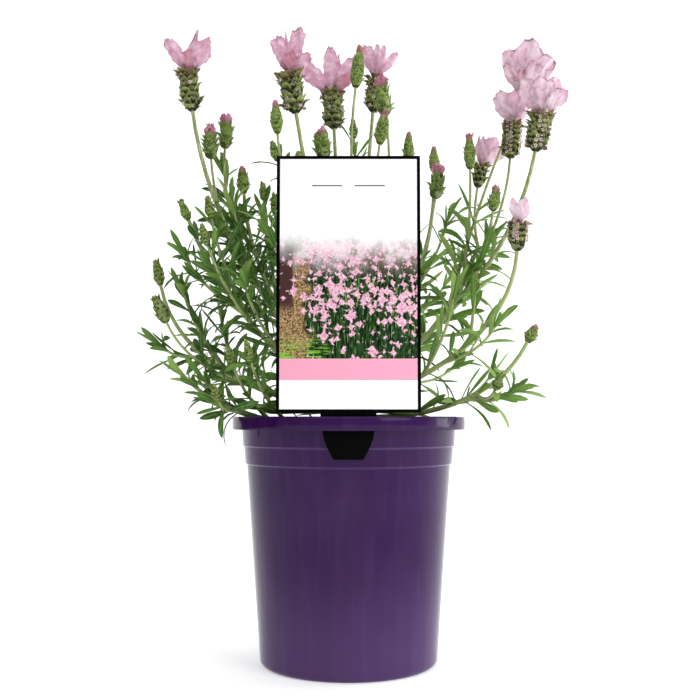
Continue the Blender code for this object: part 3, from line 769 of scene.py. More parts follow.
def bark_chips():
    """Composted bark: rough chips from near black to red-brown, and a few crumbs of white perlite."""
    made, tree, place = finish_named("composted_bark")
    tint = add(tree, "Attribute", attribute_name="tint").outputs["Fac"]
    fibre = add(tree, "TexNoise", place, spots(1.5), 4, 0.7)
    coats = ("6B4A30", tint), ("9A7A55", fibre, 0.55, 0.75, 0.6), ("E6E3DA", tint, 0.955, 0.965)
    colour = layered(tree, paint("22160E"), *coats)
    return coated(made, {"Base Color": colour, "Roughness": 0.9}, relief=(fibre, 0.5, 1.0))


def shredding_bark():
    """Bark of an old lavender stem: grey-brown strips that run up the wood and peel."""
    made, tree, place = finish_named("shredding_bark")
    drawn = add(tree, "Mapping", place, named={"Scale": (1, 1, 0.15)})
    strips = add(tree, "TexNoise", drawn, spots(1.6), 5, 0.65)
    colour = layered(tree, paint("4A3A2A"), ("A08A6A", strips, 0.35, 0.65))
    return coated(made, {"Base Color": colour, "Roughness": 0.92}, relief=(strips, 1.0, 1.0))


def felted_leaf(foliage):
    """Lavender leaf: grey-green under short felt, so matte with a pale bloom, with a paler midrib and edge.
    The felt's hairs are too fine to show and are drawn as coarser spots."""
    made, tree, place = finish_named("felted_leaf")
    across, along, tint, _ = growth_inputs(tree)
    aside = from_midrib(tree, across)
    blotch = add(tree, "TexNoise", place, spots(3.5), 3)
    felt = add(tree, "TexNoise", place, spots(0.5), 2)
    # Each leaf's tint holds its own tone and painted light and shade: low tints give the darker green of painted
    # shade, high tints the palest green of painted light.
    colour = layered(
        tree,
        (*foliage.shaded_leaf, 1),
        ((*foliage.leaf, 1), tint),
        ("B4CC7E", tint, 0.75, 1.1, 0.8),
        ("94AE6C", blotch, 0.4, 0.7, 0.25),
        ("B7C892", aside, 0.09, 0.02, 0.45),
        ("A3B88A", aside, 0.4, 0.5, 0.35),
        ((*foliage.stem, 1), along, 0.2, 0.0, 0.6),
    )
    ridged = add(tree, "Math", felt, add(tree, "MapRange", aside, 0.12, 0.0, 0, 1.5), operation="ADD")
    sockets = {"Base Color": colour, "Roughness": 0.62, "Specular IOR Level": 0.1, "Sheen Weight": 0.05}
    return coated(made, sockets, relief=(ridged, 0.12, 0.7), through=0.24)


def downy_stem(foliage):
    """Young lavender stem: yellow-green with fine down and faint ribs along it. Its pale streaks along the ribs
    are the down and also painted highlight.
    """
    made, tree, place = finish_named("downy_stem")
    drawn = add(tree, "Mapping", place, named={"Scale": (1, 1, 0.08)})
    ribs = add(tree, "TexNoise", drawn, spots(0.9), 3)
    height = add(tree, "SeparateXYZ", place).outputs["Z"]
    colour = layered(
        tree,
        paint("7A8548"),
        ((*foliage.stem, 1), ribs, 0.35, 0.65),
        # pale streaks along the ribs: the down, and painted highlight
        ("D0D8AE", ribs, 0.55, 0.72, 0.6),
        ("A9BC74", height, 0.32, 0.22, 0.7),
        ("7A7A48", height, 0.2, 0.18, 0.4),
    )
    sockets = {"Base Color": colour, "Roughness": 0.55, "Sheen Weight": 0.2}
    return coated(made, sockets, relief=(ribs, 0.25, 0.6))


def hairy_bract(flowers, kind):
    """Hairy scale of a head: an old bract is olive with a brown point, a bud's scale a fresher green. The hairs
    are too fine to show and are drawn as coarser spots, pale spots that are partly painted highlight. Each scale's
    tint paints it from a dark green of painted shade to its lit green, and its foot is darker: painted shade."""
    made, tree, place = finish_named(kind)
    across, along, tint, blush = growth_inputs(tree)
    hairs = add(tree, "TexNoise", place, spots(0.7), 3, 0.65)
    blotch = add(tree, "TexNoise", place, spots(2.4), 3)
    bumps = add(tree, "TexNoise", place, spots(1.5), 2)
    if kind == "bud_scale":
        dark, lit, bump, hair_and_highlight = "36500F", "84A242", "9CB860", "C2D296"
        bump_highlight_share, foot_shade, brown = 0.8, (0.5, 0.1, 0.62), 0.2
    else:
        dark, lit, bump, hair_and_highlight = "0F1805", (*flowers.bract, 1), "B0BA70", "E4D8C0"
        bump_highlight_share, foot_shade, brown = 0.6, (0.62, 0.25, 0.9), 0.85
    fringe = add(tree, "Math", hairs, 0.4, from_midrib(tree, across), operation="MULTIPLY_ADD")
    point = add(tree, "Math", blotch, 0.8, along, operation="MULTIPLY_ADD")
    rosy = layered(tree, paint("CC8A96"), ("A06068", blotch, 0.35, 0.65))
    colour = layered(
        tree,
        # painted light and shade: each scale's tint sets it between the dark and the lit green
        paint(dark),
        (lit, tint),
        # painted highlights on the bumps, then pale hairs that are partly painted highlight
        (bump, bumps, 0.5, 0.64, bump_highlight_share),
        (hair_and_highlight, hairs, 0.54, 0.66, 0.85),
        ("121A06", along, *foot_shade),
        ("BCC48C", fringe, 0.52, 0.7, 0.7),
        ((*flowers.bract_tip, 1), point, 1.1, 1.4, brown),
        (layered(tree, paint("6A3A24"), (rosy, blush, 0.35, 0.65)), blush),
    )
    hairy = add(tree, "Math", bumps, 2.5, hairs, operation="MULTIPLY_ADD")
    sockets = {"Base Color": colour, "Roughness": 0.6, "Specular IOR Level": 0.08, "Sheen Weight": 0.04}
    return coated(made, sockets, relief=(hairy, 0.5, 1.0), through=0.1)


def thin_petal(flowers):
    """Petal: thin, pale and translucent, with a deeper foot, fine veins and a slightly darker edge. Pale and
    deep pink patches over it are painted highlight on its ruffles and painted shade in its folds.
    """
    made, tree, place = finish_named("thin_petal")
    across, along, tint, blush = growth_inputs(tree)
    wide = add(tree, "Math", across, 9.0, operation="MULTIPLY")
    drawn = add(tree, "Math", along, 0.8, operation="MULTIPLY")
    wander = add(tree, "Math", tint, 40.0, operation="MULTIPLY")
    fan = add(tree, "CombineXYZ", wide, drawn)
    veins = add(tree, "TexNoise", fan, wander, 2.2, 3, noise_dimensions="4D")
    cloud = add(tree, "TexNoise", place, spots(7), 3)
    crumple_highlight_and_shade = add(tree, "TexNoise", place, spots(4), 3)
    foot = add(tree, "MapRange", along, 0.24, 0.08)
    foot = add(tree, "Math", foot, add(tree, "MapRange", cloud, 0.42, 0.6), operation="MULTIPLY")
    points = add(tree, "MapRange", along, 0.93, 0.99, 0, 0.6)
    points = add(tree, "Math", points, add(tree, "MapRange", cloud, 0.5, 0.6), operation="MULTIPLY")
    side = add(tree, "MapRange", from_midrib(tree, across), 0.43, 0.5)
    edge = add(tree, "Math", side, add(tree, "MapRange", along, 0.92, 1.0), operation="MAXIMUM")
    edge = add(tree, "Math", edge, 0.32, operation="MULTIPLY")
    deep = (*flowers.petal_base, 1)
    colour = layered(
        tree,
        (*flowers.petal, 1),
        ("F2D2E3", cloud, 0.35, 0.65),
        ("FFF0F8", tint, 0.2, 1.0, 0.85),
        (deep, veins, 0.52, 0.68, 0.42),
        (deep, along, 0.42, 0.0, 0.6),
        # painted highlight on the ruffles, then painted shade in the folds
        ("FFF6FB", crumple_highlight_and_shade, 0.5, 0.68, 0.6),
        ("CF88AE", crumple_highlight_and_shade, 0.45, 0.3, 0.4),
        ("9A5C3C", foot),
        (deep, edge),
        ("6E4E56", points),
        ("DC7890", blush),
    )
    sockets = {"Base Color": colour, "Roughness": 0.5, "Specular IOR Level": 0.3, "Sheen Weight": 0.15}
    return coated(made, sockets, relief=(veins, 0.25, 0.5), through=0.42)


def tiny_floret():
    """Floret: pale pink lobes round a dark throat."""
    made, tree, _ = finish_named("tiny_floret")
    _, along, tint, _ = growth_inputs(tree)
    colour = layered(tree, paint("CDB0A6"), ("F2E4DA", tint), ("4B2233", along, 0.42, 0.2))
    return coated(made, {"Base Color": colour, "Roughness": 0.55}, through=0.15)


def black_cloth():
    """Black cloth of the flag that keeps light off the pot's left side, its weave drawn coarse."""
    made, tree, place = finish_named("black_cloth")
    weave = add(tree, "TexNoise", place, spots(2), 2)
    colour = layered(tree, paint("080808"), ("121212", weave))
    return coated(made, {"Base Color": colour, "Roughness": 0.95})


def studio_paper(stage):
    """Seamless background paper: matte white, with a tooth too fine to see, drawn as wide faint clouds.
    It is lit a little on its own."""
    made, tree, place = finish_named("seamless_paper")
    tooth = add(tree, "TexNoise", place, spots(60), 2)
    sockets = {
        "Base Color": layered(tree, (*stage.paper, 1), ("FAFAFA", tooth)),
        "Roughness": 0.95,
        "Specular IOR Level": 0.1,
        "Emission Color": paint("FFFFFF"),
        "Emission Strength": 0.35,
    }
    return coated(made, sockets)


# --- modelling ------------------------------------------------------------------------------------------


def deselect():
    if bpy.context.object and bpy.context.object.mode != "OBJECT":
        bpy.ops.object.mode_set(mode="OBJECT")
    bpy.ops.object.select_all(action="DESELECT")


def select_only(obj):
    deselect()
    obj.select_set(True)
    bpy.context.view_layer.objects.active = obj


def edit(obj, mode="VERT"):
    """Opens a shape in edit mode with all of it selected."""
    select_only(obj)
    bpy.ops.object.mode_set(mode="EDIT")
    bpy.ops.mesh.select_mode(type=mode)
    bpy.ops.mesh.select_all(action="SELECT")


def leave_edit():
    bpy.ops.object.mode_set(mode="OBJECT")


def close_up(inside=False):
    """Points all faces outwards, or inwards, and leaves edit mode."""
    bpy.ops.mesh.select_all(action="SELECT")
    bpy.ops.mesh.normals_make_consistent(inside=inside)
    leave_edit()


def pick(obj, mode, wanted):
    """Selects the faces or edges that pass a test, and leaves the shape in edit mode."""
    edit(obj, mode)
    bpy.ops.mesh.select_all(action="DESELECT")
    leave_edit()
    for part in obj.data.polygons if mode == "FACE" else obj.data.edges:
        part.select = wanted(part)
    bpy.ops.object.mode_set(mode="EDIT")


def primitive(make, name=None, **settings):
    """Adds a primitive with nothing else selected."""
    deselect()
    make(**settings)
    obj = bpy.context.object
    obj.name = name or obj.name
    return obj


def modified(obj, kind, **settings):
    """Adds a modifier with its settings and applies it."""
    select_only(obj)
    modifier = obj.modifiers.new(kind.lower(), kind)
    for name, value in settings.items():
        setattr(modifier, name, value)
    bpy.ops.object.modifier_apply(modifier=modifier.name)


def rounded(obj, width, least):
    """Rounds the edges that turn by at least so many degrees. The width is in millimetres."""
    limit = {"limit_method": "ANGLE", "angle_limit": math.radians(least)}
    modified(obj, "BEVEL", width=width * MM, segments=2, **limit)


def cut(obj, cutter):
    modified(obj, "BOOLEAN", object=cutter, operation="DIFFERENCE", solver="EXACT")
    bpy.data.objects.remove(cutter)


def extrude(move):
    bpy.ops.mesh.extrude_region_move(TRANSFORM_OT_translate={"value": move})


def turned(name, profile, steps):
    """A closed solid spun about Z from a profile, in millimetres, that starts and ends on the axis."""
    obj = primitive(bpy.ops.mesh.primitive_plane_add, name, size=MM, location=(0, 0, 0))
    edit(obj)
    bpy.ops.mesh.merge(type="CENTER")
    bpy.ops.transform.translate(value=vec((profile[0][0], 0, profile[0][1])))
    for (r0, z0), (r1, z1) in zip(profile, profile[1:]):
        extrude(vec((r1 - r0, 0, z1 - z0)))
    bpy.ops.mesh.select_all(action="SELECT")
    bpy.ops.mesh.spin(steps=steps, angle=math.tau, center=(0, 0, 0), axis=(0, 0, 1))
    bpy.ops.mesh.select_all(action="SELECT")
    bpy.ops.mesh.remove_doubles(threshold=0.02 * MM)
    close_up()
    return obj


def drawn_out(rings, y=0.0):
    """Extrudes what is selected from ring to ring, and resizes it to each about its centre, which lies at y."""
    for (z0, w0, d0), (z1, w1, d1) in zip(rings, rings[1:]):
        extrude((0, 0, z1 - z0))
        bpy.ops.transform.resize(value=(w1 / w0, d1 / d0, 1), center_override=(0, y, z1))


def grown(sides, rings, name=None):
    """A closed shape modelled ring by ring up +Z. A ring is (height, width, depth)."""
    height, width, depth = rings[0]
    disc = {"vertices": sides, "radius": 0.5, "fill_type": "NGON", "location": (0, 0, 0)}
    obj = primitive(bpy.ops.mesh.primitive_circle_add, name, **disc)
    edit(obj)
    bpy.ops.transform.translate(value=(0, 0, height))
    bpy.ops.transform.resize(value=(width, depth, 1), center_override=(0, 0, height))
    drawn_out(rings)
    close_up()
    return obj


def dressed(obj, slot, *nodes, smooth):
    """Finishes a piece: smooth faces, its CAD body and the CAD nodes it stands for, which it hides. The slot is not
    used.
    """
    select_only(obj)
    bpy.ops.object.shade_smooth_by_angle(angle=math.radians(smooth))
    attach(obj, "root")
    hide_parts(*nodes)


class Shape:
    """A modelled shape as arrays, so that many copies of it can be laid out."""

    def __init__(self, obj):
        mesh = obj.data
        self.points = np.array([v.co for v in mesh.vertices])
        self.loops = np.array([i for f in mesh.polygons for i in f.vertices])
        self.totals = np.array([f.loop_total for f in mesh.polygons])
        half = {}
        for x, _, z in self.points:
            ring = round(z, 4)
            half[ring] = max(half.get(ring, 1e-6), abs(x))
        self.growth = np.array([(0.5 + 0.5 * x / half[round(z, 4)], z) for x, _, z in self.points])
        bpy.data.objects.remove(obj)


class Growth:
    """Copies of shapes gathered into one mesh, each with across-along coordinates, a tint and a blush."""

    def __init__(self):
        self.points, self.loops, self.totals, self.growth = [], [], [], []
        self.tints, self.blushes, self.slots = [], [], []
        self.count = 0

    def add(self, shape, points, slot, tints, blushes=None):
        """Points holds one block of the shape's vertices for each copy."""
        copies, each = points.shape[:2]
        starts = self.count + np.arange(copies)[:, None] * each
        self.points.append(points.reshape(-1, 3))
        self.loops.append((shape.loops[None] + starts).ravel())
        self.totals.append(np.tile(shape.totals, copies))
        self.growth.append(np.tile(shape.growth, (copies, 1)))
        self.tints.append(np.repeat(tints, each))
        self.blushes.append(np.repeat(np.zeros(copies) if blushes is None else blushes, each))
        self.slots.append(np.full(copies * len(shape.totals), slot))
        self.count += copies * each

    def add_blades(self, shape, blades, slot):
        """Adds one copy of the shape for each blade."""
        if blades:
            tints, blushes = (np.array([getattr(blade, name) for blade in blades]) for name in ("tint", "blush"))
            self.add(shape, laid_out(shape, blades), slot, tints, blushes)

    def built(self, name, materials):
        """The finished object. Across-along coordinates are its UV map, tint and blush its attributes."""
        mesh = bpy.data.meshes.new(name)
        loops, totals = np.concatenate(self.loops), np.concatenate(self.totals)
        mesh.vertices.add(self.count)
        mesh.vertices.foreach_set("co", np.concatenate(self.points).ravel())
        mesh.loops.add(len(loops))
        mesh.loops.foreach_set("vertex_index", loops.astype(np.int32))
        mesh.polygons.add(len(totals))
        mesh.polygons.foreach_set("loop_start", np.concatenate(([0], np.cumsum(totals)[:-1])).astype(np.int32))
        mesh.polygons.foreach_set("material_index", np.concatenate(self.slots).astype(np.int32))
        mesh.update(calc_edges=True)
        layer = mesh.uv_layers.new(name="growth")
        layer.data.foreach_set("uv", np.concatenate(self.growth)[loops].ravel())
        for label, values in (("tint", self.tints), ("blush", self.blushes)):
            mesh.attributes.new(label, "FLOAT", "POINT").data.foreach_set("value", np.concatenate(values))
        for material in materials:
            mesh.materials.append(material)
        obj = bpy.data.objects.new(name, mesh)
        bpy.context.scene.collection.objects.link(obj)
        return obj


class Blade(NamedTuple):
    """One leaf, bract or scale: where it starts, the way it grows, the side that faces up, and its sizes."""

    foot: Vector
    towards: Vector
    upper: Vector
    length: float
    width: float
    thickness: float
    bend: float = 0.0  # radians that the tip turns away from its upper side
    twist: float = 0.0
    cup: float = 0.0  # rise of the edges above the middle, as a share of the width
    tint: float = 0.5
    blush: float = 0.0


def laid_out(shape, blades):
    """The shape's points for each blade, cupped, twisted and bent along an arc."""

    def column(name):
        return np.array([getattr(blade, name) for blade in blades])[:, None]

    foot, towards, upper = (column(name) for name in ("foot", "towards", "upper"))
    across = np.cross(upper, towards)
    x, y, z = (shape.points[None, :, i] for i in range(3))
    side = x * column("width")
    rise = y * column("thickness") + column("cup") * column("width") * (2 * x) ** 2
    turn = column("twist") * z
    side, rise = side * np.cos(turn) - rise * np.sin(turn), side * np.sin(turn) + rise * np.cos(turn)
    bend = column("bend")
    bend = np.where(np.abs(bend) < 1e-4, 1e-4, bend)
    ahead = column("length") * np.sin(bend * z) / bend + rise * np.sin(bend * z)
    rise = rise * np.cos(bend * z) - column("length") * (1 - np.cos(bend * z)) / bend
    return foot + across * side[..., None] + upper * rise[..., None] + towards * ahead[..., None]


def leant(axis, out, lean):
    """The way a blade grows that leans outwards from an axis, in radians, and the way its upper side faces."""
    return axis * math.cos(lean) + out * math.sin(lean), axis * math.sin(lean) - out * math.cos(lean)


# --- pot, potting mix, label and woody base ---------------------------------------------------------------


def pot_profile(pot):
    """From the floor's middle, up the inside, over the rim and its skirt, and down the outside."""
    rim, top = pot.rim_radius / MM, pot.height / MM
    flat = BASE_RADIUS - BASE_FILLET
    return [
        (0, FLOOR),
        (flat - WALL, FLOOR),
        (BASE_RADIUS - WALL - 1, FLOOR + 1.2),
        (BASE_RADIUS - WALL, FLOOR + BASE_FILLET),
        (LOW_STEP_RADII[0] - WALL, LOW_STEP + 0.4),
        (LOW_STEP_RADII[1] - WALL, LOW_STEP + 0.4 + STEP_RISE),
        (HIGH_STEP_RADII[0] - WALL, HIGH_STEP + 0.4),
        (HIGH_STEP_RADII[1] - WALL, HIGH_STEP + 0.4 + STEP_RISE),
        (NECK_RADIUS - WALL, top - 0.8),
        (NECK_RADIUS - WALL + 0.8, top),
        (rim - 0.8, top),
        (rim, top - 0.8),
        (rim, top - RIM_SKIRT),
        (rim - WALL, top - RIM_SKIRT),
        (rim - WALL, top - WALL),
        (NECK_RADIUS, top - WALL),
        (HIGH_STEP_RADII[1], HIGH_STEP + STEP_RISE),
        (HIGH_STEP_RADII[0], HIGH_STEP),
        (LOW_STEP_RADII[1], LOW_STEP + STEP_RISE),
        (LOW_STEP_RADII[0], LOW_STEP),
        (BASE_RADIUS + 0.3, BASE_FILLET),
        (BASE_RADIUS - 0.1, BASE_FILLET * 0.6),
        (BASE_RADIUS - 1, BASE_FILLET * 0.3),
        (BASE_RADIUS - 2.2, BASE_FILLET * 0.08),
        (flat, 0),
        (flat - 6, 0),
        (flat - 7.5, 1.0),
        (0, 1.0),
    ]


class LAVENDER_OT_pot(bpy.types.Operator):
    """Spin the pot's wall, rim and steps, and cut its drain holes and the label's slot"""

    bl_idname = "lavender.pot"
    bl_label = "Pot"

    def execute(self, context):
        settings = context.scene.lavender.pot
        obj = turned("pot_shell", pot_profile(settings), 144)
        for i in range(DRAINS):
            drill = {"vertices": 32, "radius": DRAIN_RADIUS * MM, "depth": 8 * MM}
            place = (level(360 * (i + 0.5) / DRAINS) * DRAIN_CIRCLE + UP) * MM
            cut(obj, primitive(bpy.ops.mesh.primitive_cylinder_add, location=place, **drill))
        place = vec((0, LABEL_Y, POT_HEIGHT))
        cut(obj, primitive(bpy.ops.mesh.primitive_cube_add, size=1, location=place, scale=vec(LABEL_SLOT)))
        rounded(obj, 0.35, 28)
        obj.data.materials.append(moulded_polypropylene(settings))
        dressed(obj, "pot", "pot", smooth=32)
        return {"FINISHED"}


def soil_height(x, y):
    """Height of the potting mix at a place: a low dome with hollows, which end short of the wall."""
    r = math.hypot(x, y)
    hills = math.sin(x * 0.13 + 1.0) * math.cos(y * 0.11) + 0.5 * math.sin(x * 0.31 - y * 0.27)
    return SOIL_LEVEL + SOIL_DOME * (1 - (r / 74) ** 2) + 0.9 * hills * (1 if r < 70 else 0)


class LAVENDER_OT_potting_mix(bpy.types.Operator):
    """Fill the pot with peat mix, roughen its top and scatter bark chips and perlite on it"""

    bl_idname = "lavender.potting_mix"
    bl_label = "Potting Mix"

    def execute(self, context):
        dice = random.Random("potting mix")
        inset = WALL + SOIL_GAP
        profile = [
            *((r, soil_height(r, 0)) for r in range(0, SOIL_RADIUS + 1, 3)),
            (NECK_RADIUS - WALL - 0.8, SOIL_LEVEL),
            (HIGH_STEP_RADII[0] - inset, HIGH_STEP + 0.2),
            (LOW_STEP_RADII[1] - inset, LOW_STEP + 1.4),
            (LOW_STEP_RADII[0] - inset, LOW_STEP),
            (BASE_RADIUS - inset, FLOOR + BASE_FILLET),
            (BASE_RADIUS - WALL - BASE_FILLET, FLOOR + SOIL_GAP),
            (0, FLOOR + SOIL_GAP),
        ]
        body = turned("potting_mix_body", profile, 72)
        for vert in body.data.vertices:
            x, y, z = vert.co / MM
            if z > SOIL_LEVEL - 2 and math.hypot(x, y) < SOIL_RADIUS:
                vert.co.z = (soil_height(x, y) + dice.uniform(-0.5, 0.5)) * MM
        growth = Growth()
        shape = Shape(body)
        growth.add(shape, shape.points[None], 0, [0.5])
        chip = Shape(primitive(bpy.ops.mesh.primitive_ico_sphere_add, subdivisions=1, radius=0.5))
        for _ in range(CHIPS):
            r, turn = SOIL_RADIUS * math.sqrt(dice.uniform(0.02, 1)), dice.uniform(0, math.tau)
            x, y = r * math.cos(turn), r * math.sin(turn)
            pale = dice.random() < PERLITE_SHARE
            size = dice.uniform(1.5, 2.6) if pale else dice.uniform(2, 6.5)
            stretch = Matrix.Diagonal((size, size * dice.uniform(0.4, 0.9), size * dice.uniform(0.3, 0.6)))
            spin = Matrix.Rotation(dice.uniform(0, math.tau), 3, "Z")
            spin = spin @ Matrix.Rotation(dice.uniform(-0.6, 0.6), 3, "X")
            rough = np.array([[dice.uniform(0.75, 1.2)] for _ in chip.points])
            centre = np.array((x, y, soil_height(x, y) + size * 0.12))
            points = (chip.points * rough) @ np.array(spin @ stretch).T + centre
            growth.add(chip, points[None] * MM, 1, [1.0 if pale else dice.uniform(0, 0.9)])
        obj = growth.built("potting_mix_top", [damp_peat(), bark_chips()])
        dressed(obj, "potting_mix", "potting_mix", smooth=25)
        return {"FINISHED"}


class LAVENDER_OT_label(bpy.types.Operator):
    """Cut the label card with its neck and tapered foot, and print its front"""

    bl_idname = "lavender.label"
    bl_label = "Label"

    def execute(self, context):
        size = (2 * CARD_HALF, CARD_THICKNESS, CARD_TOP - CARD_BOTTOM)
        place = (0, LABEL_Y, (CARD_TOP + CARD_BOTTOM) / 2)
        cube = {"size": 1, "location": vec(place), "scale": vec(size)}
        obj = primitive(bpy.ops.mesh.primitive_cube_add, "label_card", **cube)
        bpy.ops.object.transform_apply(location=True, rotation=True, scale=True)
        for side in (-1, 1):
            edit(obj)
            bpy.ops.mesh.bisect(plane_co=(side * NECK_WIDTH / 2 * MM, 0, 0), plane_no=(side, 0, 0))
            leave_edit()
        pick(obj, "FACE", lambda face: face.normal.z < -0.9 and abs(face.center.x) < NECK_WIDTH / 2 * MM)
        under_rim = POT_HEIGHT - WALL
        outline = [
            (CARD_BOTTOM, NECK_WIDTH),
            (under_rim - 1, NECK_WIDTH),
            (under_rim - 2.5, FOOT_WIDTH),
            (FOOT_BOTTOM + 17, FOOT_WIDTH),
            (FOOT_BOTTOM + 13, FOOT_WIDTH * 0.95),
            (FOOT_BOTTOM + 8, FOOT_WIDTH * 0.84),
            (FOOT_BOTTOM, FOOT_TIP_WIDTH),
        ]
        drawn_out([(height * MM, width * MM, 1) for height, width in outline], y=LABEL_Y * MM)
        close_up()
        rounded(obj, 0.12, 50)
        for material in (black_polypropylene(), printed_card(context.scene.lavender.label), plain_card()):
            obj.data.materials.append(material)
        for face in obj.data.polygons:
            if face.center.z > CARD_BOTTOM * MM and abs(face.normal.y) > 0.9:
                face.material_index = 1 if face.normal.y < 0 else 2
        dressed(obj, "label", "plant_label", smooth=30)
        return {"FINISHED"}


class LAVENDER_OT_woody_base(bpy.types.Operator):
    """Grow the gnarled woody base that the branches rise from"""

    bl_idname = "lavender.woody_base"
    bl_label = "Woody Base"

    def execute(self, context):
        rings = [
            (height * MM, width * MM, width * MM * TRUNK_FLATTENING**i)
            for i, (height, width) in enumerate(TRUNK_RINGS)
        ]
        obj = grown(14, rings, "gnarled_base")
        modified(obj, "SUBSURF", levels=2, render_levels=2)
        gnarls = bpy.data.textures.new("gnarls", "CLOUDS")
        gnarls.noise_scale = 7 * MM
        modified(obj, "DISPLACE", texture=gnarls, strength=2.4 * MM, mid_level=0.55, texture_coords="LOCAL")
        obj.data.materials.append(shredding_bark())
        dressed(obj, "bark", "woody_base", smooth=60)
        return {"FINISHED"}


# --- where the plant grows --------------------------------------------------------------------------------


class Head(NamedTuple):
    """A flower head or bud, in metres."""

    foot: Vector
    axis: Vector
    length: float
    width: float


def leaning(right, back):
    """Upward direction that leans to the right and to the back by so many degrees."""
    return Vector((math.tan(math.radians(right)), math.tan(math.radians(back)), 1)).normalized()


def heads():
    """Every head by name."""
    found = {}
    for prefix, table in (("flower", OPEN_FLOWERS), ("half_open", HALF_OPEN), ("bud", BUDS)):
        for number, (foot, lean, (length, width), *_) in table.items():
            found[f"{prefix}_{number:02d}"] = Head(vec(foot), leaning(*lean), length * MM, width * MM)
    return found


def stem_route(start, end, end_axis, count):
    """Points of a stem that leaves start, bows outwards, and arrives at end along end_axis."""
    chord = end - start
    along = chord.normalized()
    mirrored = 2 * along.dot(end_axis) * along - end_axis
    first = along.lerp(mirrored, STEM_BOW).normalized()
    reach = chord.length * STEM_REACH
    a, b, c, d = start, start + first * reach, end - end_axis * reach, end
    route = []
    for i in range(count):
        t = i / (count - 1)
        s = 1 - t
        route.append(a * s**3 + b * (3 * s * s * t) + c * (3 * s * t * t) + d * t**3)
    return route


def at_share(route, share):
    """Point and direction at a share of a route's length."""
    lengths = [(b - a).length for a, b in zip(route, route[1:])]
    left = share * sum(lengths)
    for a, b, length in zip(route, route[1:], lengths):
        if left <= length:
            break
        left -= length
    return a.lerp(b, min(1, left / length)), (b - a).normalized()


class Stem(NamedTuple):
    start: Vector
    end: Vector
    axis: Vector
    radii: tuple
    ending: str
    leafy: tuple  # shares of its length where the leaves start and end

    def route(self, count=STEM_POINTS):
        return stem_route(self.start, self.end, self.axis, count)


def trunk_start(side, height, towards):
    """Where a branch leaves the trunk, clear of its bark."""
    tilt = max(0.0, (towards - vec((0, 0, height))).normalized().z)
    return (level(side) * (TRUNK_RADIUS + 0.6 + LEADER_RADII[0] * tilt) + UP * height) * MM


def stem_to_head(start, head, radii, leafy):
    return Stem(start, head.foot - head.axis * GAP * MM, head.axis, radii, "head", leafy)


def shoot(start, tip, radii, ending, leafy):
    """A stem with no flower, whose tip turns up towards the light."""
    return Stem(start, tip, ((tip - start).normalized() + UP * SHOOT_UPTURN).normalized(), radii, ending, leafy)


def branch_stems(name, all_heads):
    """The stems of one branch, leader first."""
    (side, height), borne = BRANCHES[name]
    shoots = SIDE_SHOOTS[name]
    if borne:
        head = all_heads[borne[0]]
        start = trunk_start(side, height, head.foot - head.axis * GAP * MM)
        stems = [stem_to_head(start, head, LEADER_RADII, FLOWER_LEADER_LEAVES)]
    else:
        _, tip, ending = shoots[0]
        start = trunk_start(side, height, vec(tip))
        stems = [shoot(start, vec(tip), LEADER_RADII, ending, LEAFY_LEADER_LEAVES)]
        shoots = shoots[1:]
    leader = stems[0].route()
    for i, head_name in enumerate(borne[1:]):
        start = at_share(leader, FORK_FIRST + FORK_STEP * i)[0]
        stems.append(stem_to_head(start, all_heads[head_name], SIDE_RADII, FLOWER_FORK_LEAVES))
    for share, tip, ending in shoots:
        start = at_share(leader, share)[0]
        stems.append(shoot(start, vec(tip), SIDE_RADII, ending, SIDE_SHOOT_LEAVES))
    return stems


def head_capsules(all_heads):
    """Ends and radii, in millimetres, of capsules round every head and crown, for leaves to stay out of."""
    rows = [(head.foot, head.foot + head.axis * head.length, head.width / 2) for head in all_heads.values()]
    for number, (*_, (petal_length, spread)) in OPEN_FLOWERS.items():
        head = all_heads[f"flower_{number:02d}"]
        top = head.foot + head.axis * head.length
        room = petal_length * MM * (math.sin(math.radians(spread)) * 0.7 + 0.1)
        rows.append((top, top + head.axis * petal_length * 0.8 * MM, room))
    return [np.array(column) / MM for column in zip(*rows)]


def has_room(points, capsules):
    """For blocks of points in metres: True where none runs into the pot, the mix, the card, a head or a crown."""
    x, y, z = (points[..., i] / MM for i in range(3))
    r = np.hypot(x, y)
    inner = NECK_RADIUS - WALL_ROOM
    outside = r > RIM_RADIUS + RIM_ROOM
    blocked = (r > inner) & ~outside & (z < POT_HEIGHT + 2)
    blocked |= (r <= inner) & (z < SOIL_LEVEL + MIX_ROOM)
    blocked |= outside & (z < POT_HEIGHT - HANG_BELOW_RIM)
    blocked |= (y < LABEL_Y + CARD_ROOM) & (np.abs(x) < CARD_HALF + CARD_ROOM) & (z < CARD_TOP + CARD_ROOM + 1)
    tails, tips, radii = capsules
    flat = points.reshape(-1, 1, 3) / MM
    along = tips - tails
    share = ((flat - tails) * along).sum(-1) / (along * along).sum(-1)
    nearest = tails + np.clip(share, 0, 1)[..., None] * along
    close = (np.linalg.norm(flat - nearest, axis=-1) < radii + HEAD_ROOM).any(-1)
    return ~(blocked | close.reshape(blocked.shape)).any(-1)


# --- stems and leaves -------------------------------------------------------------------------------------

# Rings of a unit shape, from its foot up: height, width and depth
LEAF_RINGS = [
    (0.0, 0.3, 1.0),
    (0.12, 0.38, 1.0),
    (0.3, 0.64, 1.0),
    (0.48, 0.9, 1.0),
    (0.64, 1.0, 0.9),
    (0.8, 0.86, 0.8),
    (0.92, 0.54, 0.6),
    (1.0, 0.1, 0.2),
]
SMALL_LEAF_RINGS = [(0.0, 0.4, 1.0), (0.35, 0.85, 1.0), (0.66, 1.0, 0.9), (0.88, 0.66, 0.6), (1.0, 0.1, 0.2)]


def beside(along):
    """A direction square to a stem."""
    return along.cross(UP + Vector((0.01, 0, 0))).normalized()


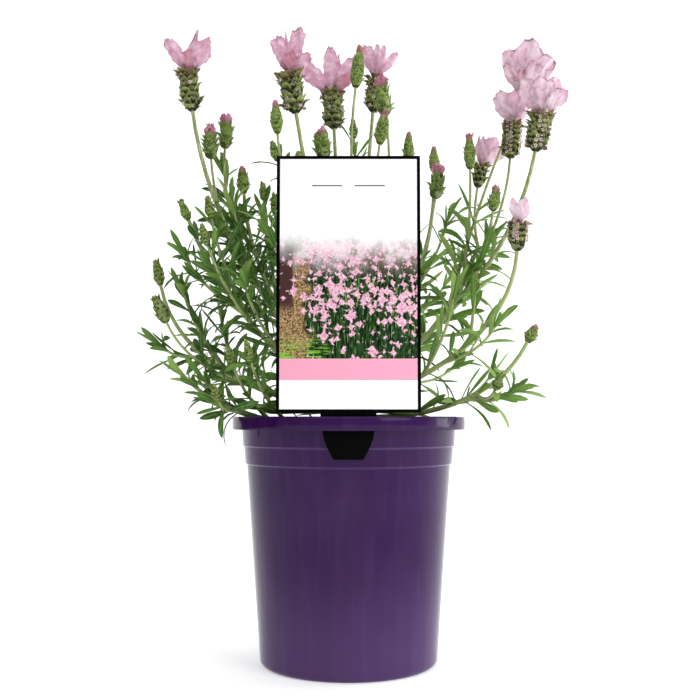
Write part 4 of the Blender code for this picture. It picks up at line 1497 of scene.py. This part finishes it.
def main_leaves(stem, seed, foliage):
    """Opposite pairs of leaves up a stem, each pair about a quarter turn from the last, as (the stem's
    direction, the side that the leaf is on, leaf)."""
    dice, extra = random.Random(seed), random.Random(seed + " shape")
    route = stem.route()
    total = sum((b - a).length for a, b in zip(route, route[1:])) / MM
    first, last = stem.leafy
    pairs = max(2, round((last - first) * total / LEAF_PITCH))
    for i in range(pairs + 1):
        share = first + (last - first) * i / pairs
        foot, along = at_share(route, share)
        turn = math.radians(90 * i + dice.uniform(-25, 25))
        for half in (0, math.pi):
            around = Matrix.Rotation(turn + half, 3, along) @ beside(along)
            lean = math.radians(dice.uniform(32, 58) - 12 * share)
            length = foliage.leaf_length * dice.uniform(0.7, 1.15) * (1 - 0.42 * share)
            yield along, around, Blade(
                foot,
                *leant(along, around, lean),
                length,
                width=foliage.leaf_width * extra.uniform(0.8, 1.15) * (length / foliage.leaf_length) ** 0.4,
                thickness=LEAF_THICKNESS * MM,
                bend=extra.uniform(-0.35, 0.3) if extra.random() < 0.35 else extra.uniform(0.4, 1.7),
                twist=extra.uniform(-0.9, 0.9),
                cup=extra.uniform(0.0, 0.16),
                # The tint is the leaf's own tone, rising along the stem, and painted light: leaves further right are
                # painted paler, as the light falls from the right.
                tint=clamped(share * 0.3 + extra.uniform(-0.1, 0.75) + foot.x / (300 * MM)),
            )


def tuft_leaves(leaf, along, around, dice, foliage):
    """Small leaves of the short shoot in a leaf's axil. There are fewer of them at the right."""
    for _ in range(dice.choice((0, 0, 0, 0, 1) if leaf.foot.x > 40 * MM else (0, 0, 0, 1, 1))):
        lean = math.radians(dice.uniform(8, 62))
        aside = Matrix.Rotation(dice.uniform(-1.2, 1.2), 3, along) @ around
        length = foliage.leaf_length * dice.uniform(0.25, 0.66)
        yield Blade(
            leaf.foot + aside * 0.6 * MM + along * dice.uniform(0, 3) * MM,
            *leant(along, aside, lean),
            length,
            width=foliage.leaf_width * dice.uniform(0.5, 0.85),
            thickness=SMALL_LEAF_THICKNESS * MM,
            bend=dice.uniform(-0.3, 1.2),
            twist=dice.uniform(-0.5, 0.5),
            cup=dice.uniform(0.05, 0.25),
            # Half the main leaf's tint, with its painted light from the right.
            tint=min(1.0, leaf.tint * 0.5 + dice.uniform(0.0, 0.6)),
        )


def tip_leaves(stem, dice, foliage):
    """Rosette of leaves that closes a leafy shoot, the lowest leaning out the most."""
    route = stem.route()
    along = (route[-1] - route[-2]).normalized()
    for i in range(ROSETTE):
        below_tip = ROSETTE - 1 - i
        around = Matrix.Rotation(2.4 * i, 3, along) @ beside(along)
        lean = math.radians(6 + 9 * below_tip * dice.uniform(0.6, 1.3))
        yield Blade(
            route[-1] - along * below_tip * 1.8 * MM,
            *leant(along, around, lean),
            length=foliage.leaf_length * dice.uniform(0.35, 0.72),
            width=foliage.leaf_width * dice.uniform(0.6, 0.95),
            thickness=SMALL_LEAF_THICKNESS * MM,
            bend=dice.uniform(-0.3, 1.1),
            twist=dice.uniform(-0.3, 0.3),
            cup=dice.uniform(0.1, 0.25),
            tint=dice.uniform(0.45, 1.0),
        )


def low_leaves(foliage):
    """Old leaves fanned out low round the plant's foot, towards its front and sides."""
    dice = random.Random("low leaves")
    for i in range(LOW_LEAVES):
        towards = level(-190 + 200 * i / (LOW_LEAVES - 1)) + UP * dice.uniform(-0.04, 0.02)
        towards.normalize()
        yield Blade(
            UP * dice.uniform(174, 178) * MM + towards * dice.uniform(8, 30) * MM,
            towards,
            squared(UP, towards),
            length=dice.uniform(26, 42) * MM,
            width=foliage.leaf_width * dice.uniform(0.7, 1.0),
            thickness=SMALL_LEAF_THICKNESS * MM,
            bend=dice.uniform(-0.1, 0.2),
            twist=dice.uniform(-1.4, 1.4),
            cup=0.1,
            tint=dice.uniform(0, 0.4),
        )


def kept(blades, shape, capsules):
    """The blades that have room, judged on their outer parts."""
    if not blades:
        return []
    points = laid_out(shape, blades)[:, shape.points[:, 2] > 0.2]
    return [blade for blade, room in zip(blades, has_room(points, capsules)) if room]


def stem_shape(stems):
    """All of a branch's stems as round tapered tubes, slightly swollen where they fork from the wood."""
    curve = bpy.data.curves.new("stems", "CURVE")
    curve.dimensions = "3D"
    curve.bevel_depth = MM
    curve.bevel_resolution = 2
    curve.use_fill_caps = True
    for stem in stems:
        spline = curve.splines.new("POLY")
        spline.points.add(TUBE_POINTS - 1)
        first, last = stem.radii
        for i, (point, place) in enumerate(zip(spline.points, stem.route(TUBE_POINTS))):
            share = i / (TUBE_POINTS - 1)
            point.co = (*place, 1)
            point.radius = first + (last - first) * share + FORK_SWELLING * math.exp(-14 * share)
    guide = bpy.data.objects.new("stems", curve)
    bpy.context.scene.collection.objects.link(guide)
    select_only(guide)
    bpy.ops.object.convert(target="MESH")
    tubes = bpy.context.object
    edit(tubes)
    bpy.ops.mesh.remove_doubles(threshold=0.01 * MM)
    close_up()
    return Shape(tubes)


class LAVENDER_OT_branches(bpy.types.Operator):
    """Grow the branches: stems, leaves in pairs with tufts in their axils, and young buds"""

    bl_idname = "lavender.branches"
    bl_label = "Branches"

    def execute(self, context):
        settings = context.scene.lavender
        foliage = settings.foliage
        leaf, small = Shape(grown(4, LEAF_RINGS)), Shape(grown(4, SMALL_LEAF_RINGS))
        materials = [downy_stem(foliage), felted_leaf(foliage), hairy_bract(settings.flowers, "bud_scale")]
        all_heads = heads()
        capsules = head_capsules(all_heads)
        bud_shapes = bract_shape(), core_shape()
        for name in BRANCHES:
            stems = branch_stems(name, all_heads)
            growth = Growth()
            tubes = stem_shape(stems)
            growth.add(tubes, tubes.points[None], 0, [0.5])
            large, little = [], []
            for number, stem in enumerate(stems):
                seed = f"branch_{name} {number}"
                dice = random.Random(seed + " tufts")
                for along, around, blade in main_leaves(stem, seed, foliage):
                    rightwards = clamped(blade.foot.x / MM / THINNING_STRETCH)
                    if dice.random() > MISSING_LEAVES + MISSING_AT_RIGHT * rightwards:
                        large.append(blade)
                    little.extend(tuft_leaves(blade, along, around, dice, foliage))
                if stem.ending == "leaves":
                    little.extend(tip_leaves(stem, dice, foliage))
                if stem.ending == "bud":
                    length, width = YOUNG_BUD
                    bud = Head(stem.end, stem.axis, length * MM, width * MM)
                    add_bud(growth, bud_shapes, bud, 2, dice, young=True)
            if name == "front":
                large.extend(low_leaves(foliage))
            growth.add_blades(leaf, kept(large, leaf, capsules), 1)
            growth.add_blades(small, kept(little, small, capsules), 1)
            dressed(growth.built(f"leafy_branch_{name}", materials), "foliage", f"branch_{name}", smooth=60)
        return {"FINISHED"}


# --- flower heads -----------------------------------------------------------------------------------------

# Rings of a unit shape, from its foot up: height, width and depth
BRACT_RINGS = [
    (0.0, 0.5, 0.8),
    (0.18, 0.86, 1.0),
    (0.38, 1.0, 1.0),
    (0.6, 0.84, 0.9),
    (0.8, 0.46, 0.7),
    (0.93, 0.2, 0.45),
    (1.0, 0.03, 0.1),
]
CORE_RINGS = [
    (0.0, 0.3, 0.3),
    (0.06, 0.72, 0.72),
    (0.2, 0.95, 0.95),
    (0.4, 1.0, 1.0),
    (0.65, 0.94, 0.94),
    (0.85, 0.74, 0.74),
    (0.96, 0.4, 0.4),
    (1.0, 0.08, 0.08),
]
TUBE_RINGS = [(0.0, 0.55, 0.55), (0.45, 1.0, 1.0), (0.85, 0.85, 0.85), (1.0, 0.6, 0.6)]


def bract_shape():
    return Shape(grown(8, BRACT_RINGS))


def core_shape():
    return Shape(grown(10, CORE_RINGS))


def barrel(share):
    """Radius of an open spike at a share of its height, against its greatest radius."""
    return min(1.0, 0.4 + 4 * share) * (1 - 0.05 * max(0.0, share - 0.4) / 0.6)


def cone_of_bud(share):
    """The same for a closed bud: widest a third of the way up, then narrowing to a point."""
    if share < 0.34:
        return 0.4 + 0.6 * math.sin(share / 0.34 * math.pi / 2)
    return max(0.12, math.cos((share - 0.34) / 0.66 * math.pi / 2 * 0.96) ** 0.8)


def outward(axis, turn):
    """Direction square to a head's axis, at a turn round it in radians."""
    square = axis.to_track_quat("Z", "Y").to_matrix()
    return square.col[0] * math.cos(turn) + square.col[1] * math.sin(turn)


class Cladding(NamedTuple):
    """How bracts clothe a head."""

    rows: int
    per_row: int
    profile: object  # a function that gives the head's radius at a share of its height
    lengths: tuple  # at the head's foot and at its top, in metres
    widths: tuple
    set_in: float  # where the bracts grow from, as a share of the head's radius
    flare: float  # degrees that they stand out
    skirt: float  # the most that they follow the head's slope, in radians
    bend: float
    # range of the bracts' tints, which paint them from shaded to lit
    tones: tuple
    wild: float = 1.0  # how much their bends differ
    ears: float = 0.0  # how far the upper ones spread
    blush: tuple = ()  # share of the height where the rosy points start, and how fast they deepen


def bract_rows(head, cladding, dice):
    """Bracts in rows round a head, each row turned half a step from the one under it."""
    foot, axis, length, width = head
    reach = width / 2 * cladding.set_in
    for row in range(cladding.rows):
        share = TOP_ROW * row / (cladding.rows - 1)
        rise = (cladding.profile(share + 0.02) - cladding.profile(share - 0.02)) * reach
        slope = math.atan2(rise, 0.04 * length)
        long, wide = (low + (high - low) * share for low, high in (cladding.lengths, cladding.widths))
        for i in range(cladding.per_row):
            turn = math.tau * (i + 0.5 * (row % 2)) / cladding.per_row + dice.uniform(-0.12, 0.12)
            out = outward(axis, turn)
            lean = max(-0.5, min(cladding.skirt, slope)) + math.radians(cladding.flare + dice.uniform(-8, 10))
            lean += cladding.ears * max(0.0, share - 0.6)
            yield Blade(
                foot + axis * share * length + out * cladding.profile(share) * reach * 0.9,
                *leant(axis, out, lean),
                length=long * dice.uniform(0.88, 1.14),
                width=wide * dice.uniform(0.9, 1.1),
                thickness=BRACT_THICKNESS * MM,
                bend=cladding.bend + cladding.wild * dice.choice((-0.6, -0.3, 0.0, 0.2, 0.7)),
                cup=0.2,
                tint=dice.uniform(*cladding.tones),
                blush=rosiness(share, *cladding.blush, dice) if cladding.blush else 0.0,
            )


def rosiness(share, start, rate, dice):
    """How rosy a bract's point is at a share of the head's height."""
    return clamped((share - start) * rate + dice.uniform(-0.12, 0.12))


def add_core(growth, core, head, share, tint, slot):
    """The green middle of a head, seen between its bracts. Its low tint paints it dark, as painted shade."""
    foot, axis, length, width = head
    size = width * share
    middle = Blade(foot, axis, outward(axis, math.pi / 2), length * 0.97, size, size, tint=tint)
    growth.add_blades(core, [middle], slot)


def add_bud(growth, shapes, head, slot, dice, young=False):
    """A closed bud: overlapping scales, rosy brown towards the point, which ends in a small tuft.
    A young one is green all over."""
    bracts, core = shapes
    foot, axis, length, width = head
    add_core(growth, core, head, 0.66, 0.4, slot)
    size = (0.8 if young else 1.0) * MM
    cladding = Cladding(
        rows=6 if young else max(6, round(length / MM / 2.6)),
        per_row=7,
        profile=cone_of_bud,
        lengths=(4.9 * size, 4.0 * size),
        widths=(4.5 * size, 3.3 * size),
        set_in=0.78,
        flare=11,
        skirt=0.35,
        bend=-0.2,
        tones=(0.1, 1.0),
        wild=0.5,
        blush=() if young else (0.63, 5.0),
    )
    blades = list(bract_rows(head, cladding, dice))
    for i in range(6):
        out = outward(axis, math.tau * i / 6 + dice.uniform(-0.3, 0.3))
        lean = math.radians(dice.uniform(-8, 16))
        tuft = Blade(
            foot + axis * (length - min(length * 0.3, 5.2 * MM)) + out * width * 0.16,
            *leant(axis, out, lean),
            length=min(length * 0.37, 6.5 * MM) * dice.uniform(0.7, 1.1),
            width=width * 0.4,
            thickness=0.6 * MM,
            bend=dice.uniform(-0.5, 0.7),
            cup=0.2,
            tint=dice.random(),
            blush=dice.uniform(0.0, 0.3) if young else dice.uniform(0.75, 1.0),
        )
        blades.append(tuft)
    growth.add_blades(bracts, blades, slot)


def floret_shape():
    """A five-lobed corolla, modelled flat: a ten-sided disc with every other corner drawn in and its throat sunk."""
    disc = {"vertices": 10, "radius": 0.5, "fill_type": "NGON", "location": (0, 0, 0)}
    obj = primitive(bpy.ops.mesh.primitive_circle_add, **disc)
    for vert in list(obj.data.vertices)[1::2]:
        vert.co *= 0.58
    edit(obj, "FACE")
    extrude((0, 0, 0.16))
    bpy.ops.mesh.inset(thickness=0.16)
    bpy.ops.mesh.inset(thickness=0.06)
    bpy.ops.transform.translate(value=(0, 0, -0.1))
    close_up()
    shape = Shape(obj)
    reach = np.hypot(shape.points[:, 0], shape.points[:, 1]) / 0.5
    shape.growth = np.stack((np.full_like(reach, 0.5), reach), axis=1)
    return shape


def calyx_blades(florets):
    """The small tube under each floret."""
    for floret in florets:
        yield floret._replace(
            foot=floret.foot - floret.towards * 3.0 * MM,
            length=3.1 * MM,
            width=2.0 * MM,
            thickness=2.0 * MM,
            blush=0.75 * floret.tint,
        )


def floret_blades(head, dice, rows, lowest):
    """Florets in upright rows of pairs on a spike's flanks, facing outwards."""
    foot, axis, length, width = head
    size = FLORET_SIZE * MM
    for column in FLORET_COLUMNS:
        for row in range(rows):
            share = lowest + (HIGHEST_FLORET - lowest) * row / (rows - 1)
            for twin in (-1, 1):
                out = outward(axis, math.radians(column + twin * 11 + dice.uniform(-5, 5)))
                face = (out + axis * dice.uniform(-0.2, 0.45)).normalized()
                yield Blade(
                    foot + axis * length * (share + twin * 0.02) + out * width * (0.43 + dice.uniform(0, 0.05)),
                    face,
                    face.orthogonal().normalized(),
                    length=size * 0.9,
                    width=size * dice.uniform(0.85, 1.15),
                    thickness=size * dice.uniform(0.85, 1.15),
                    tint=dice.random(),
                )


class LAVENDER_OT_spikes(bpy.types.Operator):
    """Build the open flowers' spikes from rows of pointed bracts, with their florets"""

    bl_idname = "lavender.spikes"
    bl_label = "Spikes"

    def execute(self, context):
        flowers = context.scene.lavender.flowers
        bracts, core, corolla, tube = bract_shape(), core_shape(), floret_shape(), Shape(grown(6, TUBE_RINGS))
        materials = [hairy_bract(flowers, "hairy_bract"), tiny_floret()]
        all_heads = heads()
        for number in OPEN_FLOWERS:
            head = all_heads[f"flower_{number:02d}"]
            dice = random.Random(f"spike {number}")
            growth = Growth()
            # The core's low tint paints it nearly as dark as the darkest bracts: painted shade between them.
            add_core(growth, core, head, 0.72, 0.1, 0)
            long = flowers.bract_length * min(1.1, head.width / (16 * MM))
            cladding = Cladding(
                rows=max(5, round(head.length / MM / 3.7)),
                per_row=8,
                profile=barrel,
                lengths=(long * 0.85, long * 0.8),
                widths=(long * 0.68, long * 0.64),
                set_in=0.76,
                flare=16,
                skirt=0.3,
                bend=0.25,
                tones=(0.0, 1.0),
                ears=2.4,
                blush=(0.56, 1.7),
            )
            growth.add_blades(bracts, list(bract_rows(head, cladding, dice)), 0)
            rows, lowest, odds = FLORETS.get(number, USUAL_FLORETS)
            florets = list(floret_blades(head, dice, rows, lowest))
            florets = [floret for floret in florets if dice.random() < odds]
            growth.add_blades(tube, list(calyx_blades(florets)), 0)
            growth.add_blades(corolla, florets, 1)
            obj = growth.built(f"bract_spike_{number:02d}", materials)
            dressed(obj, "calyx", f"flower_spike_{number:02d}", smooth=55)
        return {"FINISHED"}


def petal_grid():
    """A flat grid for petals to be shaped from."""
    grid = {"x_subdivisions": 18, "y_subdivisions": 24, "size": 1, "location": (0, 0, 0)}
    shape = Shape(primitive(bpy.ops.mesh.primitive_grid_add, **grid))
    shape.growth = shape.points[:, :2] + 0.5
    return shape


def petal_outline(along, lost):
    """Width of a petal against its greatest, at each place along it. It loses the share lost at the tip."""
    body = 0.28 + 0.72 * np.sin(np.clip(along / 0.6, 0, 1) * math.pi / 2) ** 1.2
    past = np.clip((along - 0.6) / 0.4, 0, 1)
    return body * (1 - lost * past**2)


def petal_points(shape, root, spec, dice):
    """Points of one petal, grown from root: it leans, curls, cups, ruffles and has a torn edge."""
    lean, facing, length, width, curl, tip, ruffle = spec
    lost, rounding = PETAL_ENDS[tip]
    length, width = length * MM, width * MM
    towards = leaning(*lean)
    out = squared(level(facing), towards)
    across = towards.cross(out)
    u, v = 2 * shape.growth[:, 0] - 1, shape.growth[:, 1]
    phase, second, third, fourth = (dice.uniform(0, math.tau) for _ in range(4))
    torn = 1 + 0.06 * np.sin(12 * v + phase + np.sign(u)) + 0.06 * np.sin(27 * v + second - 2 * np.sign(u))
    side = u * width / 2 * petal_outline(v, lost) * torn
    side = side + 0.05 * width * v * v * np.sin(3 * v + fourth)
    teeth = min(1.0, width / (14 * MM)) * np.sin(3.6 * u + third)
    teeth = teeth + 0.55 * np.sin(9.5 * u + phase) + 0.35 * np.sin(17 * u + fourth)
    share = v * (1 - rounding * np.abs(u) ** 2.6 * v * v) + teeth * MM / length * v**5
    # the middle line curls outwards ever more towards the tip
    steps = np.linspace(0, 1, 40)
    curled = math.radians(curl) * steps**1.5
    stretch = length * share / np.maximum(v, 0.02)
    forward, outwards = (
        np.interp(v, steps, np.cumsum(part) / len(steps)) * stretch for part in (np.cos(curled), np.sin(curled))
    )
    # the blade rises from that line: it is cupped, with ruffles along its edges and across its tip
    lift = -0.17 * width * u * u * (1 - 0.6 * v)
    lift = lift + ruffle * width * np.abs(u) ** 1.5 * v * np.sin(10 * v + phase + np.sign(u) * 1.3)
    lift = lift + ruffle * 0.5 * width * v * v * np.sin(4.5 * u + second)
    lift = lift + 0.06 * width * v * np.sin(2.2 * u + fourth) + 0.018 * width * np.sin(15 * v + 7 * u + third)
    bend = math.radians(curl) * v**1.5
    parts = (across, side), (towards, forward - lift * np.sin(bend)), (out, outwards + lift * np.cos(bend))
    return np.array(root) + sum(np.array(way) * distance[:, None] for way, distance in parts)


def add_petals(growth, shape, head, specs, dice, tints, slot=0, blush=0.0, sunk=2.0):
    """Adds petals round the top of a head, rooted sunk millimetres below it."""
    foot, axis, length, _ = head
    for spec in specs:
        (_, back), facing, *_ = spec
        root = foot + axis * (length - sunk * MM) + squared(level(facing), axis) * 1.6 * MM
        points = petal_points(shape, root, spec, dice)
        rosy = ROSY_BLUSH if back <= ROSY_LEAN else 0.0
        growth.add(shape, points[None], slot, [dice.uniform(*tints)], [max(blush, rosy)])


class LAVENDER_OT_petals(bpy.types.Operator):
    """Shape each open flower's crown of thin, ruffled petals"""

    bl_idname = "lavender.petals"
    bl_label = "Petals"

    def execute(self, context):
        skin = thin_petal(context.scene.lavender.flowers)
        grid = petal_grid()
        all_heads = heads()
        for number in OPEN_FLOWERS:
            growth = Growth()
            dice = random.Random(f"petals {number}")
            tints = PETAL_TINTS.get(number, USUAL_PETAL_TINTS)
            add_petals(growth, grid, all_heads[f"flower_{number:02d}"], PETALS[number], dice, tints)
            obj = growth.built(f"petal_crown_{number:02d}", [skin])
            modified(obj, "SOLIDIFY", thickness=PETAL_THICKNESS * MM, offset=0)
            dressed(obj, "petals", f"flower_petals_{number:02d}", smooth=70)
        return {"FINISHED"}


class LAVENDER_OT_half_open(bpy.types.Operator):
    """Build the half-open heads: bracts with a curled tuft of petals coming out of the top"""

    bl_idname = "lavender.half_open"
    bl_label = "Half-Open Heads"

    def execute(self, context):
        flowers = context.scene.lavender.flowers
        bracts, core, grid = bract_shape(), core_shape(), petal_grid()
        materials = [hairy_bract(flowers, "bud_scale"), thin_petal(flowers)]
        all_heads = heads()
        cladding = Cladding(
            rows=5,
            per_row=6,
            profile=barrel,
            lengths=(7.4 * MM, 6.8 * MM),
            widths=(6.4 * MM, 5.0 * MM),
            set_in=0.74,
            flare=14,
            skirt=0.25,
            bend=0.1,
            tones=(0.0, 1.0),
        )
        for number in HALF_OPEN:
            head = all_heads[f"half_open_{number:02d}"]
            dice = random.Random(f"half open {number}")
            body = head._replace(length=head.length * 0.72)
            growth = Growth()
            add_core(growth, core, body, 0.8, 0.3, 0)
            growth.add_blades(bracts, list(bract_rows(body, cladding, dice)), 0)
            specs = []
            for i in range(5):
                facing = -90 + 72 * i + dice.uniform(-15, 15)
                size = head.length / MM * dice.uniform(0.4, 0.56)
                curl = dice.uniform(-60, 30)
                specs.append(((level(facing) * 9).xy, facing, size, size * 0.8, curl, "round", 0.2))
            tuft = Growth()
            add_petals(tuft, grid, body, specs, dice, (0.2, 0.8), slot=1, blush=0.4, sunk=1.5)
            petals = tuft.built("tuft", materials)
            modified(petals, "SOLIDIFY", thickness=TUFT_THICKNESS * MM, offset=0)
            obj = growth.built(f"half_open_head_{number:02d}", materials)
            select_only(obj)
            petals.select_set(True)
            bpy.ops.object.join()
            dressed(obj, "calyx", f"half_open_{number:02d}", smooth=60)
        return {"FINISHED"}


class LAVENDER_OT_buds(bpy.types.Operator):
    """Build the closed buds from overlapping scales with rosy brown points"""

    bl_idname = "lavender.buds"
    bl_label = "Buds"

    def execute(self, context):
        scale = hairy_bract(context.scene.lavender.flowers, "bud_scale")
        shapes = bract_shape(), core_shape()
        all_heads = heads()
        for number in BUDS:
            growth = Growth()
            dice = random.Random(f"bud {number}")
            add_bud(growth, shapes, all_heads[f"bud_{number:02d}"], 0, dice, young=number in GREEN_BUDS)
            dressed(growth.built(f"closed_bud_{number:02d}", [scale]), "calyx", f"bud_{number:02d}", smooth=55)
        return {"FINISHED"}


# --- studio -----------------------------------------------------------------------------------------------


def softbox(name, place, target, size, power):
    light = bpy.data.lights.new(name, "AREA")
    light.shape = "RECTANGLE"
    light.size, light.size_y = size
    light.energy = power
    obj = bpy.data.objects.new(name, light)
    bpy.context.scene.collection.objects.link(obj)
    obj.location = place
    obj.rotation_euler = (Vector(target) - Vector(place)).to_track_quat("-Z", "Y").to_euler()


def paper_sweep():
    """A round floor whose edge bends up into a wall, open towards the camera."""
    disc = {"vertices": 96, "radius": PAPER_REACH, "fill_type": "NGON", "location": (0, 0, 0)}
    sweep = primitive(bpy.ops.mesh.primitive_circle_add, "seamless_sweep", **disc)
    edit(sweep, "FACE")
    bpy.ops.mesh.inset(thickness=0.001)
    leave_edit()

    def on_rim(edge):
        return min(sweep.data.vertices[i].co.xy.length for i in edge.vertices) > PAPER_REACH - 0.0005

    pick(sweep, "EDGE", on_rim)
    rings = []
    for i in range(BEND_STEPS + 1):
        turn = math.radians(90) * i / BEND_STEPS
        rings.append((PAPER_BEND * (1 - math.cos(turn)), PAPER_REACH + PAPER_BEND * math.sin(turn)))
    for (z0, r0), (z1, r1) in zip(rings, rings[1:]):
        bpy.ops.mesh.extrude_edges_move(TRANSFORM_OT_translate={"value": (0, 0, z1 - z0)})
        bpy.ops.transform.resize(value=(r1 / r0, r1 / r0, 1), center_override=(0, 0, z1))
    bpy.ops.mesh.extrude_edges_move(TRANSFORM_OT_translate={"value": (0, 0, PAPER_WALL)})
    close_up(inside=True)
    pick(sweep, "FACE", lambda face: face.center.y < -0.3 and face.center.z > 0.01)
    bpy.ops.mesh.delete(type="FACE")
    leave_edit()
    return sweep


class LAVENDER_OT_stage(bpy.types.Operator):
    """Set up the seamless paper, the soft lights, the black flag and the camera"""

    bl_idname = "lavender.stage"
    bl_label = "Studio"

    def execute(self, context):
        stage = context.scene.lavender.stage
        sweep = paper_sweep()
        sweep.data.materials.append(studio_paper(stage))
        select_only(sweep)
        bpy.ops.object.shade_smooth()
        for name, settings in SOFTBOXES.items():
            softbox(name, *settings)
        board = {"size": 1, "location": (-0.9, 0.15, 0.25), "scale": (0.01, 1.0, 0.6)}
        flag = primitive(bpy.ops.mesh.primitive_cube_add, "black_flag", **board)
        flag.visible_camera = flag.visible_shadow = False
        flag.data.materials.append(black_cloth())
        world = bpy.data.worlds.new("studio_air")
        context.scene.world = world
        world.use_nodes = True
        background = world.node_tree.nodes["Background"]
        background.inputs["Color"].default_value = paint("FFFFFF")
        background.inputs["Strength"].default_value = AIR_LIGHT
        camera = bpy.data.cameras.new("camera")
        camera.lens = LENS
        camera.sensor_width = 36
        obj = bpy.data.objects.new("camera", camera)
        context.scene.collection.objects.link(obj)
        obj.location = (CAMERA_ASIDE, -stage.camera_distance, CAMERA_HEIGHT)
        obj.rotation_euler = (math.radians(90 + CAMERA_TILT), 0, 0)
        context.scene.camera = obj
        context.scene.view_settings.view_transform = "Standard"
        return {"FINISHED"}


# --- panel and registration ---------------------------------------------------------------------------------

PIECES = (
    LAVENDER_OT_pot,
    LAVENDER_OT_potting_mix,
    LAVENDER_OT_label,
    LAVENDER_OT_woody_base,
    LAVENDER_OT_branches,
    LAVENDER_OT_spikes,
    LAVENDER_OT_petals,
    LAVENDER_OT_half_open,
    LAVENDER_OT_buds,
    LAVENDER_OT_stage,
)
SETTINGS = (PotSettings, LabelSettings, FoliageSettings, FlowerSettings, StageSettings, LavenderSettings)


class LAVENDER_PT_panel(bpy.types.Panel):
    """Sizes and colours of the lavender, and the buttons that build it"""

    bl_label = "Potted Lavender"
    bl_idname = "LAVENDER_PT_panel"
    bl_space_type = "VIEW_3D"
    bl_region_type = "UI"
    bl_category = "Lavender"

    def draw(self, context):
        settings = context.scene.lavender
        for group in (settings.pot, settings.label, settings.foliage, settings.flowers, settings.stage):
            box = self.layout.box()
            for name in group.__annotations__:
                box.prop(group, name)
        for piece in PIECES:
            self.layout.operator(piece.bl_idname)


def register():
    for kind in (*SETTINGS, *PIECES, LAVENDER_PT_panel):
        bpy.utils.register_class(kind)
    bpy.types.Scene.lavender = PointerProperty(type=LavenderSettings)


def unregister():
    del bpy.types.Scene.lavender
    for kind in reversed((*SETTINGS, *PIECES, LAVENDER_PT_panel)):
        bpy.utils.unregister_class(kind)


def main():
    register()
    bpy.ops.lavender.pot()
    bpy.ops.lavender.potting_mix()
    bpy.ops.lavender.label()
    bpy.ops.lavender.woody_base()
    bpy.ops.lavender.branches()
    bpy.ops.lavender.spikes()
    bpy.ops.lavender.petals()
    bpy.ops.lavender.half_open()
    bpy.ops.lavender.buds()
    bpy.ops.lavender.stage()


if __name__ == "__main__":
    main()
